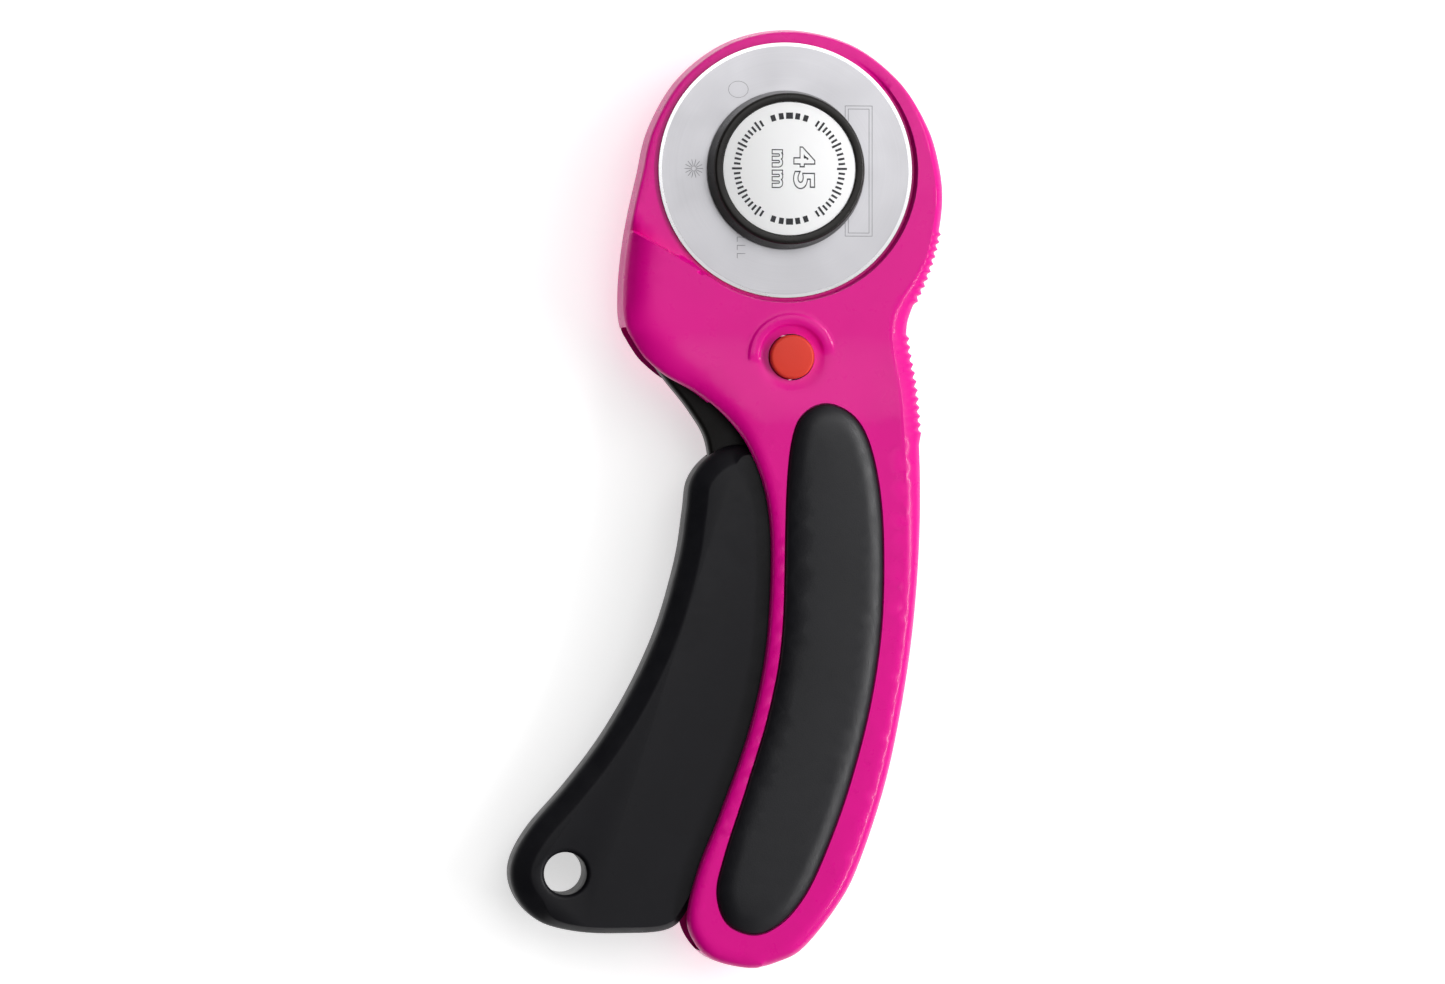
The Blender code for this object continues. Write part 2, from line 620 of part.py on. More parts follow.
def blade_knob():
    z0, z1 = KNOB_Z
    r = KNOB_RADIUS
    profile = [(0, 19.4), (STUD_RADIUS + FIT_GAP, 19.4), (STUD_RADIUS + FIT_GAP, z0), (r - 0.8, z0), (r, z0 + 0.8),
               (KNOB_TOP_RADIUS, z1 - 0.6), (KNOB_TOP_RADIUS - 0.18, z1 - 0.18), (KNOB_TOP_RADIUS - 0.6, z1),
               (LABEL_RADIUS + 0.3, z1), (LABEL_RADIUS + 0.15, z1 - 0.9), (0, z1 - 0.9)]
    return lathe(profile, "blade_knob", "black_plastic")


def rear_nut():
    """Scalloped finger nut with a flat outer face on the table."""
    rings = []
    for scale, z in ((0.9, 0.0), (0.97, 0.35), (1.0, 1.0), (1.0, NUT_TOP_Z - 0.4), (0.97, NUT_TOP_Z)):
        ring = []
        for i in range(108):
            a = 2 * pi * i / 108
            r = (NUT_RADIUS - 0.55 * (1 + cos(NUT_LOBES * a))) * scale
            ring.append(Vector((r * cos(a), r * sin(a))))
        rings.append((ring, z))
    nut = loft_mesh(rings, "rear_nut", "black_plastic")
    return combine(nut, [prism(circle(0, 0, INSERT_RADIUS + 0.2, 40), 1.1, NUT_TOP_Z + 1)], "DIFFERENCE")


def wave_washer():
    rings = []
    for i in range(48):
        a = 2 * pi * i / 48
        lift = 0.12 * cos(3 * a)
        low, high = 4.05 + lift, 4.40 + lift
        rings.append([Vector((r * cos(a), r * sin(a), z)) for r, z in
                      ((3.4, low), (8.6, low), (8.6, high), (3.4, high))])
    bm = bmesh.new()
    loops = [[bm.verts.new(v * MM) for v in ring] for ring in rings]
    for a, b in zip(loops, loops[1:] + loops[:1]):
        for k in range(4):
            bm.faces.new((a[k], b[k], b[(k + 1) % 4], a[(k + 1) % 4]))
    return new_object("wave_washer", bm, "spring_steel")


# ---------------------------------------------------------------- lock
def lock_button():
    z0, z1 = BUTTON_Z
    n0, n1 = BUTTON_NECK_Z
    r, neck = BUTTON_RADIUS, BUTTON_NECK_RADIUS
    profile = [(0, z0), (r - 0.7, z0), (r, z0 + 0.7), (r, n0), (neck, n0), (neck, n1), (r, n1),
               (r, z1 - 1.0), (r - 0.3, z1 - 0.3), (r - 1.0, z1), (0, z1)]
    return lathe(profile, "lock_button", "orange", *BUTTON, count=40)


def lock_clip():
    """C-shaped clip between the arm and the rear wall, open towards the spine."""
    outer, inner = [], []
    for i in range(29):
        a = radians(40 + 280 * i / 28)
        outer.append(Vector(BUTTON) + CLIP_RADII[1] * Vector((cos(a), sin(a))))
        inner.append(Vector(BUTTON) + CLIP_RADII[0] * Vector((cos(a), sin(a))))
    return prism(outer + list(reversed(inner)), *CLIP_Z, "lock_clip", "spring_steel")


def build():
    clear_scene()
    front = front_shell()
    rear = flip_z(front, "rear_shell", "magenta")
    pad = grip_pad("front_grip_pad")
    rear_pad = flip_z(pad, "rear_grip_pad", "black_rubber")
    arm, grip = lever_arm(), lever_grip()
    spring = return_spring()
    low, high = ARM_Z
    pin = lathe([(0, PIN_Z[0]), (PIN_RADIUS, PIN_Z[0]), (PIN_RADIUS, PIN_Z[1]), (0, PIN_Z[1])], "pivot_pin", "steel",
                *PIVOT, count=32)
    washers = [lathe(ring_profile(PIN_RADIUS + 0.15, BOSS_RADIUS, z0, z0 + 0.4), name, "nylon", *PIVOT, count=32)
               for name, z0 in (("pivot_washer_front", high + 0.2), ("pivot_washer_rear", low - 0.6))]
    button, clip = lock_button(), lock_clip()
    disc, knob = blade(), blade_knob()
    label = lathe([(0, LABEL_Z[0]), (LABEL_RADIUS, LABEL_Z[0]), (LABEL_RADIUS, LABEL_Z[1]), (0, LABEL_Z[1])],
                  "knob_label", "label")
    foot, top = STUD_Z
    stud = lathe([(0, foot), (STUD_RADIUS - 0.4, foot), (STUD_RADIUS, foot + 0.4), (STUD_RADIUS, top), (0, top)],
                 "bolt_stud", "steel", count=40)
    bush = lathe(ring_profile(STUD_RADIUS + 0.1, BLADE_HOLE_RADIUS - 0.08, 15.2, 15.75), "blade_bush", "nylon")
    sleeve = lathe(ring_profile(STUD_RADIUS + 0.1, SLEEVE_RADIUS, low - 0.2, high + 0.2), "arm_sleeve", "steel", count=40)
    nut, washer = rear_nut(), wave_washer()
    insert = lathe(ring_profile(STUD_RADIUS + 0.05, INSERT_RADIUS, 1.4, NUT_TOP_Z - 0.1, 0.2), "nut_insert", "brass",
                   count=40)

    hinge = bpy.data.objects.new("lever_pivot_axis", None)
    hinge.location = Vector((PIVOT[0], PIVOT[1], 0)) * MM
    bpy.context.scene.collection.objects.link(hinge)
    for obj in (arm, grip, stud, sleeve, knob, label, washer, bush, disc, nut):
        obj.parent = hinge
        obj.matrix_parent_inverse = Matrix.Translation(-hinge.location)
    insert.parent = nut
    centre = Vector((BUTTON[0], BUTTON[1], 0)) * MM
    button.data.transform(Matrix.Translation(-centre))
    button.location = centre
    for child, parent in ((rear, front), (pad, front), (rear_pad, front), (pin, front), (clip, front),
                          (spring, front), (washers[0], front), (washers[1], front)):
        child.parent = parent


build()
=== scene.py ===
import json
import bmesh
import bpy
from math import atan2, cos, degrees, hypot, pi, radians, sin, sqrt
from mathutils import Matrix, Vector
from mathutils.geometry import delaunay_2d_cdt


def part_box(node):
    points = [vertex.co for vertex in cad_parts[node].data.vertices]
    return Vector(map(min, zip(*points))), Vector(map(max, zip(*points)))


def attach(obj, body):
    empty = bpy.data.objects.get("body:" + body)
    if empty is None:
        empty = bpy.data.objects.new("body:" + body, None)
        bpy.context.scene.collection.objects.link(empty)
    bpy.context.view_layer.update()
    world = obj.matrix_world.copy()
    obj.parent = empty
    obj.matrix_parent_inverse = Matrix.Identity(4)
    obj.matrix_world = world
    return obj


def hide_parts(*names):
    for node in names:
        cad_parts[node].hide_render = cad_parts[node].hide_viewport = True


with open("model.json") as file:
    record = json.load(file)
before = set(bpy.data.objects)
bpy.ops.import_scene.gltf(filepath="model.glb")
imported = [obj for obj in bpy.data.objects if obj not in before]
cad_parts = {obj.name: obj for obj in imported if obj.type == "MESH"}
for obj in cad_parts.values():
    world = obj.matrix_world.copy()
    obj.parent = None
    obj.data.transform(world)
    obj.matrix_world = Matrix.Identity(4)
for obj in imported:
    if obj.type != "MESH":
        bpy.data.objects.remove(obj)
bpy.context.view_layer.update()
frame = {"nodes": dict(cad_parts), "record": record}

MM = 0.001
MID_Z = 10.0


def box_mm(node):
    low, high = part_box(node)
    return Vector(low) / MM, Vector(high) / MM


JOINT = {j["name"]: j for j in frame["record"]["behaviour"]["joints"]}
PIVOT = tuple(v / MM for v in JOINT["lever_squeeze"]["pos_m"][:2])
SWING = radians(JOINT["lever_squeeze"]["range_deg"][1])

shell_high = box_mm("front_shell")[1]
blade_low, blade_high = box_mm("blade")
knob_low, knob_high = box_mm("blade_knob")
pad_high = box_mm("front_grip_pad")[1]
arm_low, arm_high = box_mm("lever_arm")
grip_low, grip_high = box_mm("lever_grip")
button_low, button_high = box_mm("lock_button")
label_low, label_high = box_mm("knob_label")

HANDLE_FACE_Z = shell_high.z
CHIN_FACE_Z = HANDLE_FACE_Z - 1.5
HEAD_FACE_Z = blade_low.z - 0.3
HEAD_INNER_Z, CHIN_INNER_Z, HANDLE_INNER_Z = 13.2, 15.0, 16.5
PAD_FLOOR_Z = 17.4
WALL = 2.2
BLADE_RADIUS = blade_high.x
BLADE_BEVEL = 0.62
KNOB_RADIUS = knob_high.x
KNOB_TOP_RADIUS = 13.35
LABEL_RADIUS = 11.7
BUTTON = ((button_low.x + button_high.x) / 2, (button_low.y + button_high.y) / 2)
BUTTON_RADIUS = (button_high.x - button_low.x) / 2
RECESS_RADIUS = BLADE_RADIUS + 0.6
CREASE_START, CREASE_END = (-27.8, -10.6), (-12.5, -19.6)
CREASE_DIRECTION = (0.862, -0.507)
CREASE_WEDGE = [(-34.0, -8.7), (-11.0, -22.2), (-11.0, 0.0), (-34.0, 0.0)]
GUARD_TOP_ANGLE = 62      # above this the head's rim is level with the blade's seat
SLOT_TOP_Y, SLOT_END_Y = -28.0, -137.5
SWEEP_GAP = 0.5           # room left round the blade's edge as the lever swings
DIMPLE_DEPTH = 0.4        # shallow dish round the lock button
HALO_HEIGHT = 0.26        # raised arc round the upper side of the dish
HANG_HOLE = (-39.0, -123.9)
HANG_HOLE_RADIUS = 3.75
LOCK_HOLE_RADIUS = 4.25

BODY_OUTLINE = [
    (-6.5, -140.9), (-1.2, -139.8), (3.2, -137.4), (8.9, -130.5), (12.8, -123.4), (17.6, -109.3),
    (20.7, -95.2), (22.8, -81.0), (23.9, -67.0), (24.1, -54.0), (23.4, -40.0), (22.2, -32.0),
    (21.9, -28.0), (22.8, -24.5), (25.3, -18.8), (27.3, -12.0), (28.2, -5.0), (27.5, 1.5),
    (25.4, 8.5), (20.6, 16.3), (12.0, 22.7), (0.9, 25.1), (-9.8, 22.9), (-18.6, 16.4),
    (-23.9, 7.5), (-26.0, -1.0), (-27.6, -8.0), (-28.7, -14.5), (-29.3, -21.5), (-29.0, -27.0),
    (-27.0, -31.7), (-22.2, -36.3), (-16.0, -39.9), (-10.4, -44.8), (-6.6, -50.5), (-4.0, -58.5),
    (-3.3, -69.0), (-4.2, -84.6), (-7.2, -98.7), (-12.2, -112.9), (-16.2, -123.0), (-18.0, -130.8),
    (-17.0, -135.4), (-13.4, -139.2)]
PAD_OUTLINE = [
    (-5.7, -134.7), (-1.0, -132.6), (3.2, -127.6), (6.8, -120.0), (10.8, -109.0), (14.5, -95.0),
    (16.6, -81.0), (17.0, -67.0), (16.3, -56.4), (14.4, -48.0), (11.6, -43.4), (7.2, -41.3),
    (3.2, -42.8), (1.0, -47.0), (-0.1, -57.0), (-0.8, -81.0), (-3.1, -95.0), (-7.3, -109.0),
    (-11.2, -121.0), (-12.5, -127.6), (-10.6, -132.8)]
GRIP_OUTLINE = [
    (-29.0, -134.6), (-20.6, -133.9), (-16.8, -129.8), (-12.8, -121.0), (-7.6, -108.5), (-3.6, -96.0),
    (-1.2, -82.0), (-0.2, -68.0), (-0.6, -56.0), (-2.6, -50.6), (-8.2, -48.4), (-13.1, -50.2),
    (-16.6, -54.4), (-17.5, -60.0), (-18.5, -67.0), (-20.2, -74.0), (-22.4, -81.0), (-25.4, -88.0),
    (-29.1, -95.0), (-33.6, -102.0), (-39.1, -109.0), (-45.5, -116.4), (-48.5, -122.6),
    (-47.6, -128.0), (-43.6, -132.3), (-37.0, -134.2)]
ARM_OUTLINE = [
    (6.6, 0.0), (4.7, 4.7), (0.0, 6.6), (-4.7, 4.7), (-10.0, -1.6), (-17.6, -12.0), (-23.4, -17.6),
    (-26.0, -21.4), (-26.0, -25.0), (-25.8, -28.6), (-24.0, -32.4), (-21.2, -36.6), (-16.7, -42.3),
    (-13.6, -48.0), (-13.2, -56.0), (-14.6, -68.0), (-16.0, -78.0), (-14.6, -82.0), (-10.2, -82.2),
    (-8.4, -78.0), (-6.4, -66.0), (-4.0, -54.0), (1.2, -44.6), (6.2, -38.4), (7.4, -32.0),
    (4.8, -26.0), (2.0, -16.0), (4.6, -6.0)]
TONGUE_TOP_Y = -46.0
RIB_GROUPS = [(-10.6, -23.6, 10), (-28.9, -47.2, 12)]
RIB_HEIGHT = 0.5
SIDE_DRAFT = 0.55       # how far the side wall leans in from the parting line to the face
RIB_REACH = 2.6         # how far the ribs run in over the fillet


# ---------------------------------------------------------------- materials
def new_material(name):
    mat = bpy.data.materials.new(name)
    mat.use_nodes = True
    nodes = mat.node_tree.nodes
    return mat, nodes, mat.node_tree.links, nodes["Principled BSDF"]


def set_inputs(bsdf, **values):
    for key, value in values.items():
        bsdf.inputs[key.replace("_", " ")].default_value = value


def noise_node(nodes, links, vector, scale, detail=4.0, rough=0.55):
    tex = nodes.new("ShaderNodeTexNoise")
    tex.inputs["Scale"].default_value = scale
    tex.inputs["Detail"].default_value = detail
    tex.inputs["Roughness"].default_value = rough
    links.new(vector, tex.inputs["Vector"])
    return tex.outputs["Fac"]


def remap(nodes, links, value, low, high):
    """Maps the middle range of a noise to low..high."""
    node = nodes.new("ShaderNodeMapRange")
    links.new(value, node.inputs["Value"])
    for key, v in (("From Min", 0.3), ("From Max", 0.7), ("To Min", low), ("To Max", high)):
        node.inputs[key].default_value = v
    return node.outputs["Result"]


def add_bump(nodes, links, bsdf, height, strength, distance):
    """Bump from a height socket, with the distance in metres."""
    bump = nodes.new("ShaderNodeBump")
    bump.inputs["Strength"].default_value = strength
    bump.inputs["Distance"].default_value = distance
    links.new(height, bump.inputs["Height"])
    links.new(bump.outputs["Normal"], bsdf.inputs["Normal"])


def ramp(nodes, links, value, stops):
    node = nodes.new("ShaderNodeValToRGB")
    node.color_ramp.elements[0].position, node.color_ramp.elements[0].color = stops[0]
    node.color_ramp.elements[1].position, node.color_ramp.elements[1].color = stops[-1]
    for position, colour in stops[1:-1]:
        node.color_ramp.elements.new(position).color = colour
    links.new(value, node.inputs["Fac"])
    return node.outputs["Color"]


def moulded(name, colour, spread, rough, grain_scale, grain, specular, coat=0.0):
    """Moulded plastic or rubber: slight flow mottling, spark-eroded grain and uneven gloss."""
    mat, nodes, links, bsdf = new_material(name)
    coords = nodes.new("ShaderNodeTexCoord").outputs["Object"]
    mottle = noise_node(nodes, links, coords, 60.0, 3.0)
    low = tuple(c * (1 - spread) for c in colour) + (1,)
    high = tuple(min(1.0, c * (1 + spread)) for c in colour) + (1,)
    links.new(ramp(nodes, links, mottle, [(0.35, low), (0.65, high)]), bsdf.inputs["Base Color"])
    fine = noise_node(nodes, links, coords, grain_scale, 2.0, 0.6)
    cloud = noise_node(nodes, links, coords, 350.0, 5.0, 0.6)
    links.new(remap(nodes, links, cloud, rough - 0.05, rough + 0.06), bsdf.inputs["Roughness"])
    add_bump(nodes, links, bsdf, fine, grain, 0.00004)
    set_inputs(bsdf, Specular_IOR_Level=specular, Coat_Weight=coat, Coat_Roughness=0.13)
    return mat


def ground_steel(name, colour, rough, strength=0.25, spread=0.06):
    """Steel with fine circular grinding lines about a vertical axis."""
    mat, nodes, links, bsdf = new_material(name)
    coords = nodes.new("ShaderNodeTexCoord").outputs["Object"]
    split = nodes.new("ShaderNodeSeparateXYZ")
    links.new(coords, split.inputs[0])

    def math(operation, *values):
        node = nodes.new("ShaderNodeMath")
        node.operation = operation
        for i, v in enumerate(values):
            if isinstance(v, (int, float)):
                node.inputs[i].default_value = v
            else:
                links.new(v, node.inputs[i])
        return node.outputs[0]

    x, y = split.outputs[0], split.outputs[1]
    radius = math("SQRT", math("ADD", math("MULTIPLY", x, x), math("MULTIPLY", y, y)))
    ring = nodes.new("ShaderNodeCombineXYZ")
    links.new(math("MULTIPLY", radius, 9000.0), ring.inputs[0])
    # cosine and sine of the polar angle, so that the pattern has no seam
    safe = math("MAXIMUM", radius, 0.0001)
    links.new(math("MULTIPLY", math("DIVIDE", x, safe), 1.4), ring.inputs[1])
    links.new(math("MULTIPLY", math("DIVIDE", y, safe), 1.4), ring.inputs[2])
    lines = noise_node(nodes, links, ring.outputs[0], 1.0, 2.0, 0.5)
    smear = noise_node(nodes, links, coords, 90.0, 4.0)
    low, high = [tuple(min(1, c * k) for c in colour) + (1,) for k in (1 - spread, 1 + spread)]
    links.new(ramp(nodes, links, lines, [(0.3, low), (0.7, high)]), bsdf.inputs["Base Color"])
    links.new(remap(nodes, links, smear, rough - 0.04, rough + 0.06), bsdf.inputs["Roughness"])
    add_bump(nodes, links, bsdf, lines, strength, 0.00001)
    set_inputs(bsdf, Metallic=1.0)
    return mat


# name, colour, colour spread, roughness, grains per metre, grain strength
MAGENTA = moulded("magenta_plastic", (0.77, 0.0015, 0.275), 0.025, 0.30, 2600.0, 0.03,
                  specular=0.14, coat=0.20)
GRIP_PLASTIC = moulded("grip_plastic", (0.0050, 0.0048, 0.0070), 0.12, 0.44, 5200.0, 0.30, specular=0.24)
ARM_PLASTIC = moulded("arm_plastic", (0.0045, 0.0036, 0.0032), 0.12, 0.40, 3600.0, 0.20, specular=0.2)
KNOB_PLASTIC = moulded("knob_plastic", (0.0075, 0.0060, 0.0052), 0.10, 0.30, 3600.0, 0.18, specular=0.32)
PAD_RUBBER = moulded("pad_rubber", (0.0080, 0.0080, 0.0105), 0.10, 0.38, 4300.0, 0.36, specular=0.38)
ORANGE = moulded("orange_plastic", (0.74, 0.050, 0.030), 0.03, 0.36, 3000.0, 0.14, specular=0.2)
LABEL_WHITE = moulded("label_white", (0.975, 0.975, 0.98), 0.006, 0.42, 1500.0, 0.06, specular=0.3)
INK = moulded("label_ink", (0.045, 0.045, 0.05), 0.15, 0.5, 2500.0, 0.08, specular=0.2)
ETCH = moulded("blade_etch", (0.17, 0.17, 0.18), 0.12, 0.6, 6000.0, 0.2, specular=0.2)
NYLON = moulded("nylon", (0.72, 0.70, 0.65), 0.04, 0.5, 2600.0, 0.12, specular=0.4)
BLADE_FACE = ground_steel("blade_face", (0.515, 0.51, 0.535), 0.32, strength=0.10, spread=0.02)
# the bevel ring's steel is much brighter than the face's: partly the bevel's finer grind, partly a painted
# reflection of the bright surroundings
BLADE_EDGE_SHEEN = ground_steel("blade_edge_sheen", (0.80, 0.80, 0.82), 0.26, strength=0.08, spread=0.02)
PART_STEEL = ground_steel("part_steel", (0.56, 0.56, 0.57), 0.30)
SPRING_STEEL = ground_steel("spring_steel", (0.42, 0.42, 0.43), 0.34)
BRASS = ground_steel("brass", (0.72, 0.50, 0.20), 0.32)


# ---------------------------------------------------------------- outlines, in millimetres
def smooth_closed(points, steps):
    curve = []
    count = len(points)
    for i in range(count):
        p0, p1, p2, p3 = (Vector(points[(i + k - 1) % count]) for k in range(4))
        for s in range(steps):
            t = s / steps
            curve.append(0.5 * (2 * p1 + (p2 - p0) * t + (2 * p0 - 5 * p1 + 4 * p2 - p3) * t * t
                                + (3 * p1 - p0 - 3 * p2 + p3) * t ** 3))
    return curve


def offset_closed(curve, distance):
    count = len(curve)
    moved = []
    for i, p in enumerate(curve):
        before = (p - curve[i - 1]).normalized()
        after = (curve[(i + 1) % count] - p).normalized()
        tangent = (before + after).normalized()
        moved.append(p + Vector((-tangent.y, tangent.x)) * distance / max(0.5, tangent.dot(after)))
    return moved


def circle(cx, cy, radius, count=64, start=0.0):
    turns = [start + 2 * pi * i / count for i in range(count)]
    return [Vector((cx + radius * cos(a), cy + radius * sin(a))) for a in turns]


def edge_distance(p, curve):
    best = 1e9
    for i, a in enumerate(curve):
        ab = curve[i - 1] - a
        t = max(0.0, min(1.0, (p - a).dot(ab) / max(ab.length_squared, 1e-12)))
        best = min(best, (p - a - ab * t).length_squared)
    return sqrt(best)


def inside(p, curve):
    hit = False
    for i, a in enumerate(curve):
        b = curve[i - 1]
        if (a.y > p.y) != (b.y > p.y) and p.x < (b.x - a.x) * (p.y - a.y) / (b.y - a.y) + a.x:
            hit = not hit
    return hit


def clip_polygon(curve, a, b, c):
    """Keeps the part of a polygon where a*x + b*y <= c."""
    kept = []
    for i, p in enumerate(curve):
        q = curve[(i + 1) % len(curve)]
        fp, fq = a * p.x + b * p.y - c, a * q.x + b * q.y - c
        if fp <= 0:
            kept.append(p)
        if (fp < 0 < fq) or (fq < 0 < fp):
            kept.append(p.lerp(q, fp / (fp - fq)))
    return kept


def smoothstep(t, low=0.0, high=1.0):
    t = max(0.0, min(1.0, (t - low) / (high - low)))
    return t * t * (3 - 2 * t)


# ---------------------------------------------------------------- solids
def new_object(name, bm, mat=None, smooth_angle=32.0):
    bmesh.ops.recalc_face_normals(bm, faces=bm.faces)
    mesh = bpy.data.meshes.new(name)
    bm.to_mesh(mesh)
    bm.free()
    obj = bpy.data.objects.new(name, mesh)
    bpy.context.scene.collection.objects.link(obj)
    if mat:
        mesh.materials.append(mat)
    shade(obj, smooth_angle)
    return obj


def shade(obj, angle=32.0):
    mesh = obj.data
    mesh.shade_smooth()
    bm = bmesh.new()
    bm.from_mesh(mesh)
    limit = radians(angle)
    for edge in bm.edges:
        edge.smooth = len(edge.link_faces) == 2 and edge.calc_face_angle(0.0) < limit
    bm.to_mesh(mesh)
    bm.free()


def loft_mesh(rings, name, mat=None, smooth_angle=32.0):
    """Closed solid through rings of (points, height)."""
    bm = bmesh.new()
    levels = [[bm.verts.new(Vector((p.x, p.y, z)) * MM) for p in points] for points, z in rings]
    for low, high in zip(levels, levels[1:]):
        count = len(low)
        for i in range(count):
            bm.faces.new((low[i], low[(i + 1) % count], high[(i + 1) % count], high[i]))
    bm.faces.new(list(reversed(levels[0])))
    bm.faces.new(levels[-1])
    return new_object(name, bm, mat, smooth_angle)


def prism(curve, z0, z1):
    return loft_mesh([(curve, z0), (curve, z1)], "cutter")


def add_plate(bm, corners, low, high):
    """Thin block over four flat corners, for a printed or etched mark."""
    verts = [bm.verts.new(Vector((c.x, c.y, z)) * MM) for z in (low, high) for c in corners]
    for face in ((3, 2, 1, 0), (4, 5, 6, 7), (0, 1, 5, 4), (1, 2, 6, 5), (2, 3, 7, 6), (3, 0, 4, 7)):
        bm.faces.new([verts[k] for k in face])


def lathe(profile, name, mat, cx=0.0, cy=0.0, count=128, smooth_angle=32.0):
    bm = bmesh.new()
    rings = []
    for radius, z in profile:
        if radius == 0:
            rings.append([bm.verts.new(Vector((cx, cy, z)) * MM)])
        else:
            rings.append([bm.verts.new(Vector((p.x, p.y, z)) * MM) for p in circle(cx, cy, radius, count)])
    for a, b in zip(rings, rings[1:] + rings[:1]):
        if len(a) == 1 and len(b) == 1:
            continue
        for i in range(count):
            j = (i + 1) % count
            if len(a) == 1:
                bm.faces.new((a[0], b[i], b[j]))
            elif len(b) == 1:
                bm.faces.new((a[i], b[0], a[j]))
            else:
                bm.faces.new((a[i], b[i], b[j], a[j]))
    return new_object(name, bm, mat, smooth_angle)


def combine(obj, others, operation):
    for other in others:
        mod = obj.modifiers.new("bool", "BOOLEAN")
        mod.object, mod.operation, mod.solver = other, operation, "EXACT"
        bpy.context.view_layer.update()
        mesh = bpy.data.meshes.new_from_object(obj.evaluated_get(bpy.context.evaluated_depsgraph_get()))
        obj.modifiers.clear()
        old, obj.data = obj.data, mesh
        bpy.data.meshes.remove(old)
        bpy.data.objects.remove(other, do_unlink=True)
    return obj


def flip_z(obj, name):
    bm = bmesh.new()
    bm.from_mesh(obj.data)
    for v in bm.verts:
        v.co.z = 2 * MID_Z * MM - v.co.z
    bmesh.ops.reverse_faces(bm, faces=bm.faces)
    copy = new_object(name, bm)
    for mat in obj.data.materials:
        copy.data.materials.append(mat)
    return copy


def rounding(radius_in, drop, steps):
    """Quarter ellipse from the side wall up to the face: (inset, drop below the face)."""
    return [(radius_in * (1 - cos(0.5 * pi * i / steps)), drop * (1 - sin(0.5 * pi * i / steps)))
            for i in range(steps + 1)]


def pillow(curve, z0, z1, inset, drop, name, mat, steps=8):
    """Slab with elliptical edges on both faces."""
    profile = rounding(inset, drop, steps)
    rings = [(offset_closed(curve, i), z0 + d) for i, d in reversed(profile)]
    rings += [(offset_closed(curve, i), z1 - d) for i, d in profile]
    return loft_mesh(rings, name, mat, 40)


# ---------------------------------------------------------------- body
def ribbed(curve, depth):
    """The curve with the spine's finger ribs, fading out with depth over the fillet."""
    out = []
    for i, p in enumerate(curve):
        bump = 0.0
        for top, bottom, ribs in RIB_GROUPS:
            if p.x > 15 and bottom <= p.y <= top:
                wave = 0.5 * (1 - cos(2 * pi * ribs * (top - p.y) / (top - bottom)))
                bump = RIB_HEIGHT * wave ** 0.7 * max(0.0, 1 - depth / RIB_REACH)
        side = (curve[(i + 1) % len(curve)] - curve[i - 1]).normalized()
        out.append(p + Vector((side.y, -side.x)) * bump)
    return out


def fine_outline():
    """Body outline, dense along the ribs."""
    curve = []
    base = smooth_closed(BODY_OUTLINE, 8)
    for i, p in enumerate(base):
        q = base[(i + 1) % len(base)]
        pieces = 1
        for top, bottom, ribs in RIB_GROUPS:
            if p.x > 15 and bottom <= p.y <= top:
                pieces = max(1, round((q - p).length / (0.125 * (top - bottom) / ribs)))
        curve += [p.lerp(q, k / pieces) for k in range(pieces)]
    return curve


def below_crease(p):
    """Distance of p below the chin's crease line, negative on the blade's side."""
    sx, sy = CREASE_START
    ex, ey = CREASE_END
    return ((sy - p.y) * (ex - sx) - (sx - p.x) * (ey - sy)) / hypot(ex - sx, ey - sy)


def turned(point, angle):
    """The point after the lever has turned by the angle about its pivot."""
    x, y = point[0] - PIVOT[0], point[1] - PIVOT[1]
    return (PIVOT[0] + x * cos(angle) - y * sin(angle), PIVOT[1] + x * sin(angle) + y * cos(angle))


def sweep_clearance(p):
    """Distance of p from everything the blade's edge passes over as the lever swings."""
    pivot = Vector(PIVOT)
    squeezed = Vector(turned((0, 0), SWING))
    return min(p.length - BLADE_RADIUS, (p - squeezed).length - BLADE_RADIUS,
               pivot.length - BLADE_RADIUS - (p - pivot).length)


def raised(p):
    """0 at the level of the blade's seat, 1 where the chin and spine stand up round it."""
    radius = hypot(p.x, p.y)
    step = smoothstep(radius, RECESS_RADIUS - 0.15, RECESS_RADIUS + 0.35)
    step *= smoothstep(GUARD_TOP_ANGLE - degrees(atan2(p.y, p.x)), 0, 75)
    along = CREASE_DIRECTION[0] * p.x + CREASE_DIRECTION[1] * p.y
    if p.x >= 0 or along > 0:
        return step
    crest = below_crease(p)
    if crest >= 0:
        return 1.0
    slope = -crest / (-crest + max(0.02, sweep_clearance(p) - SWEEP_GAP))
    facet = (1 - smoothstep(slope, -0.35, 1.0)) / (1 - smoothstep(0.0, -0.35, 1.0))
    return facet + (step - facet) * smoothstep(along, -5, 0)


def fillet_size(p):
    """(width, drop) of the edge rounding near p."""
    up = raised(p)
    if p.x < 0:
        width, drop = 1.3 + 1.6 * up, 1.0 + 1.4 * up
        chin = smoothstep(-p.y, 8, 14) * (1 - smoothstep(-p.y, 34, 52))
        corner = smoothstep(-p.y, 28, 30) * (1 - smoothstep(-p.y, 31, 34))
        deep = 3.9 - 1.6 * smoothstep(-p.y, 21, 28) + 0.8 * corner
        width, drop = width + (6.0 - width) * chin, drop + (deep - drop) * chin
    else:
        elbow = smoothstep(-p.y, 14, 26)
        width, drop = 1.3 + 0.3 * up + 1.5 * elbow, 1.0 + 0.6 * up + 0.8 * elbow
    handle = smoothstep(-p.y, 38, 56)
    wide, deep = (2.4, 1.6) if left_side(p) else (3.0, 2.3)
    return width + (wide - width) * handle, drop + (deep - drop) * handle


def spine_bevel(p):
    """How much of the edge is a flat bevel: all along the spine's elbow, nothing on the left side."""
    if left_side(p):
        return 0.0
    return 0.62 * smoothstep(16 - p.y, 0, 14) * (1 - smoothstep(-p.y, 46, 78))


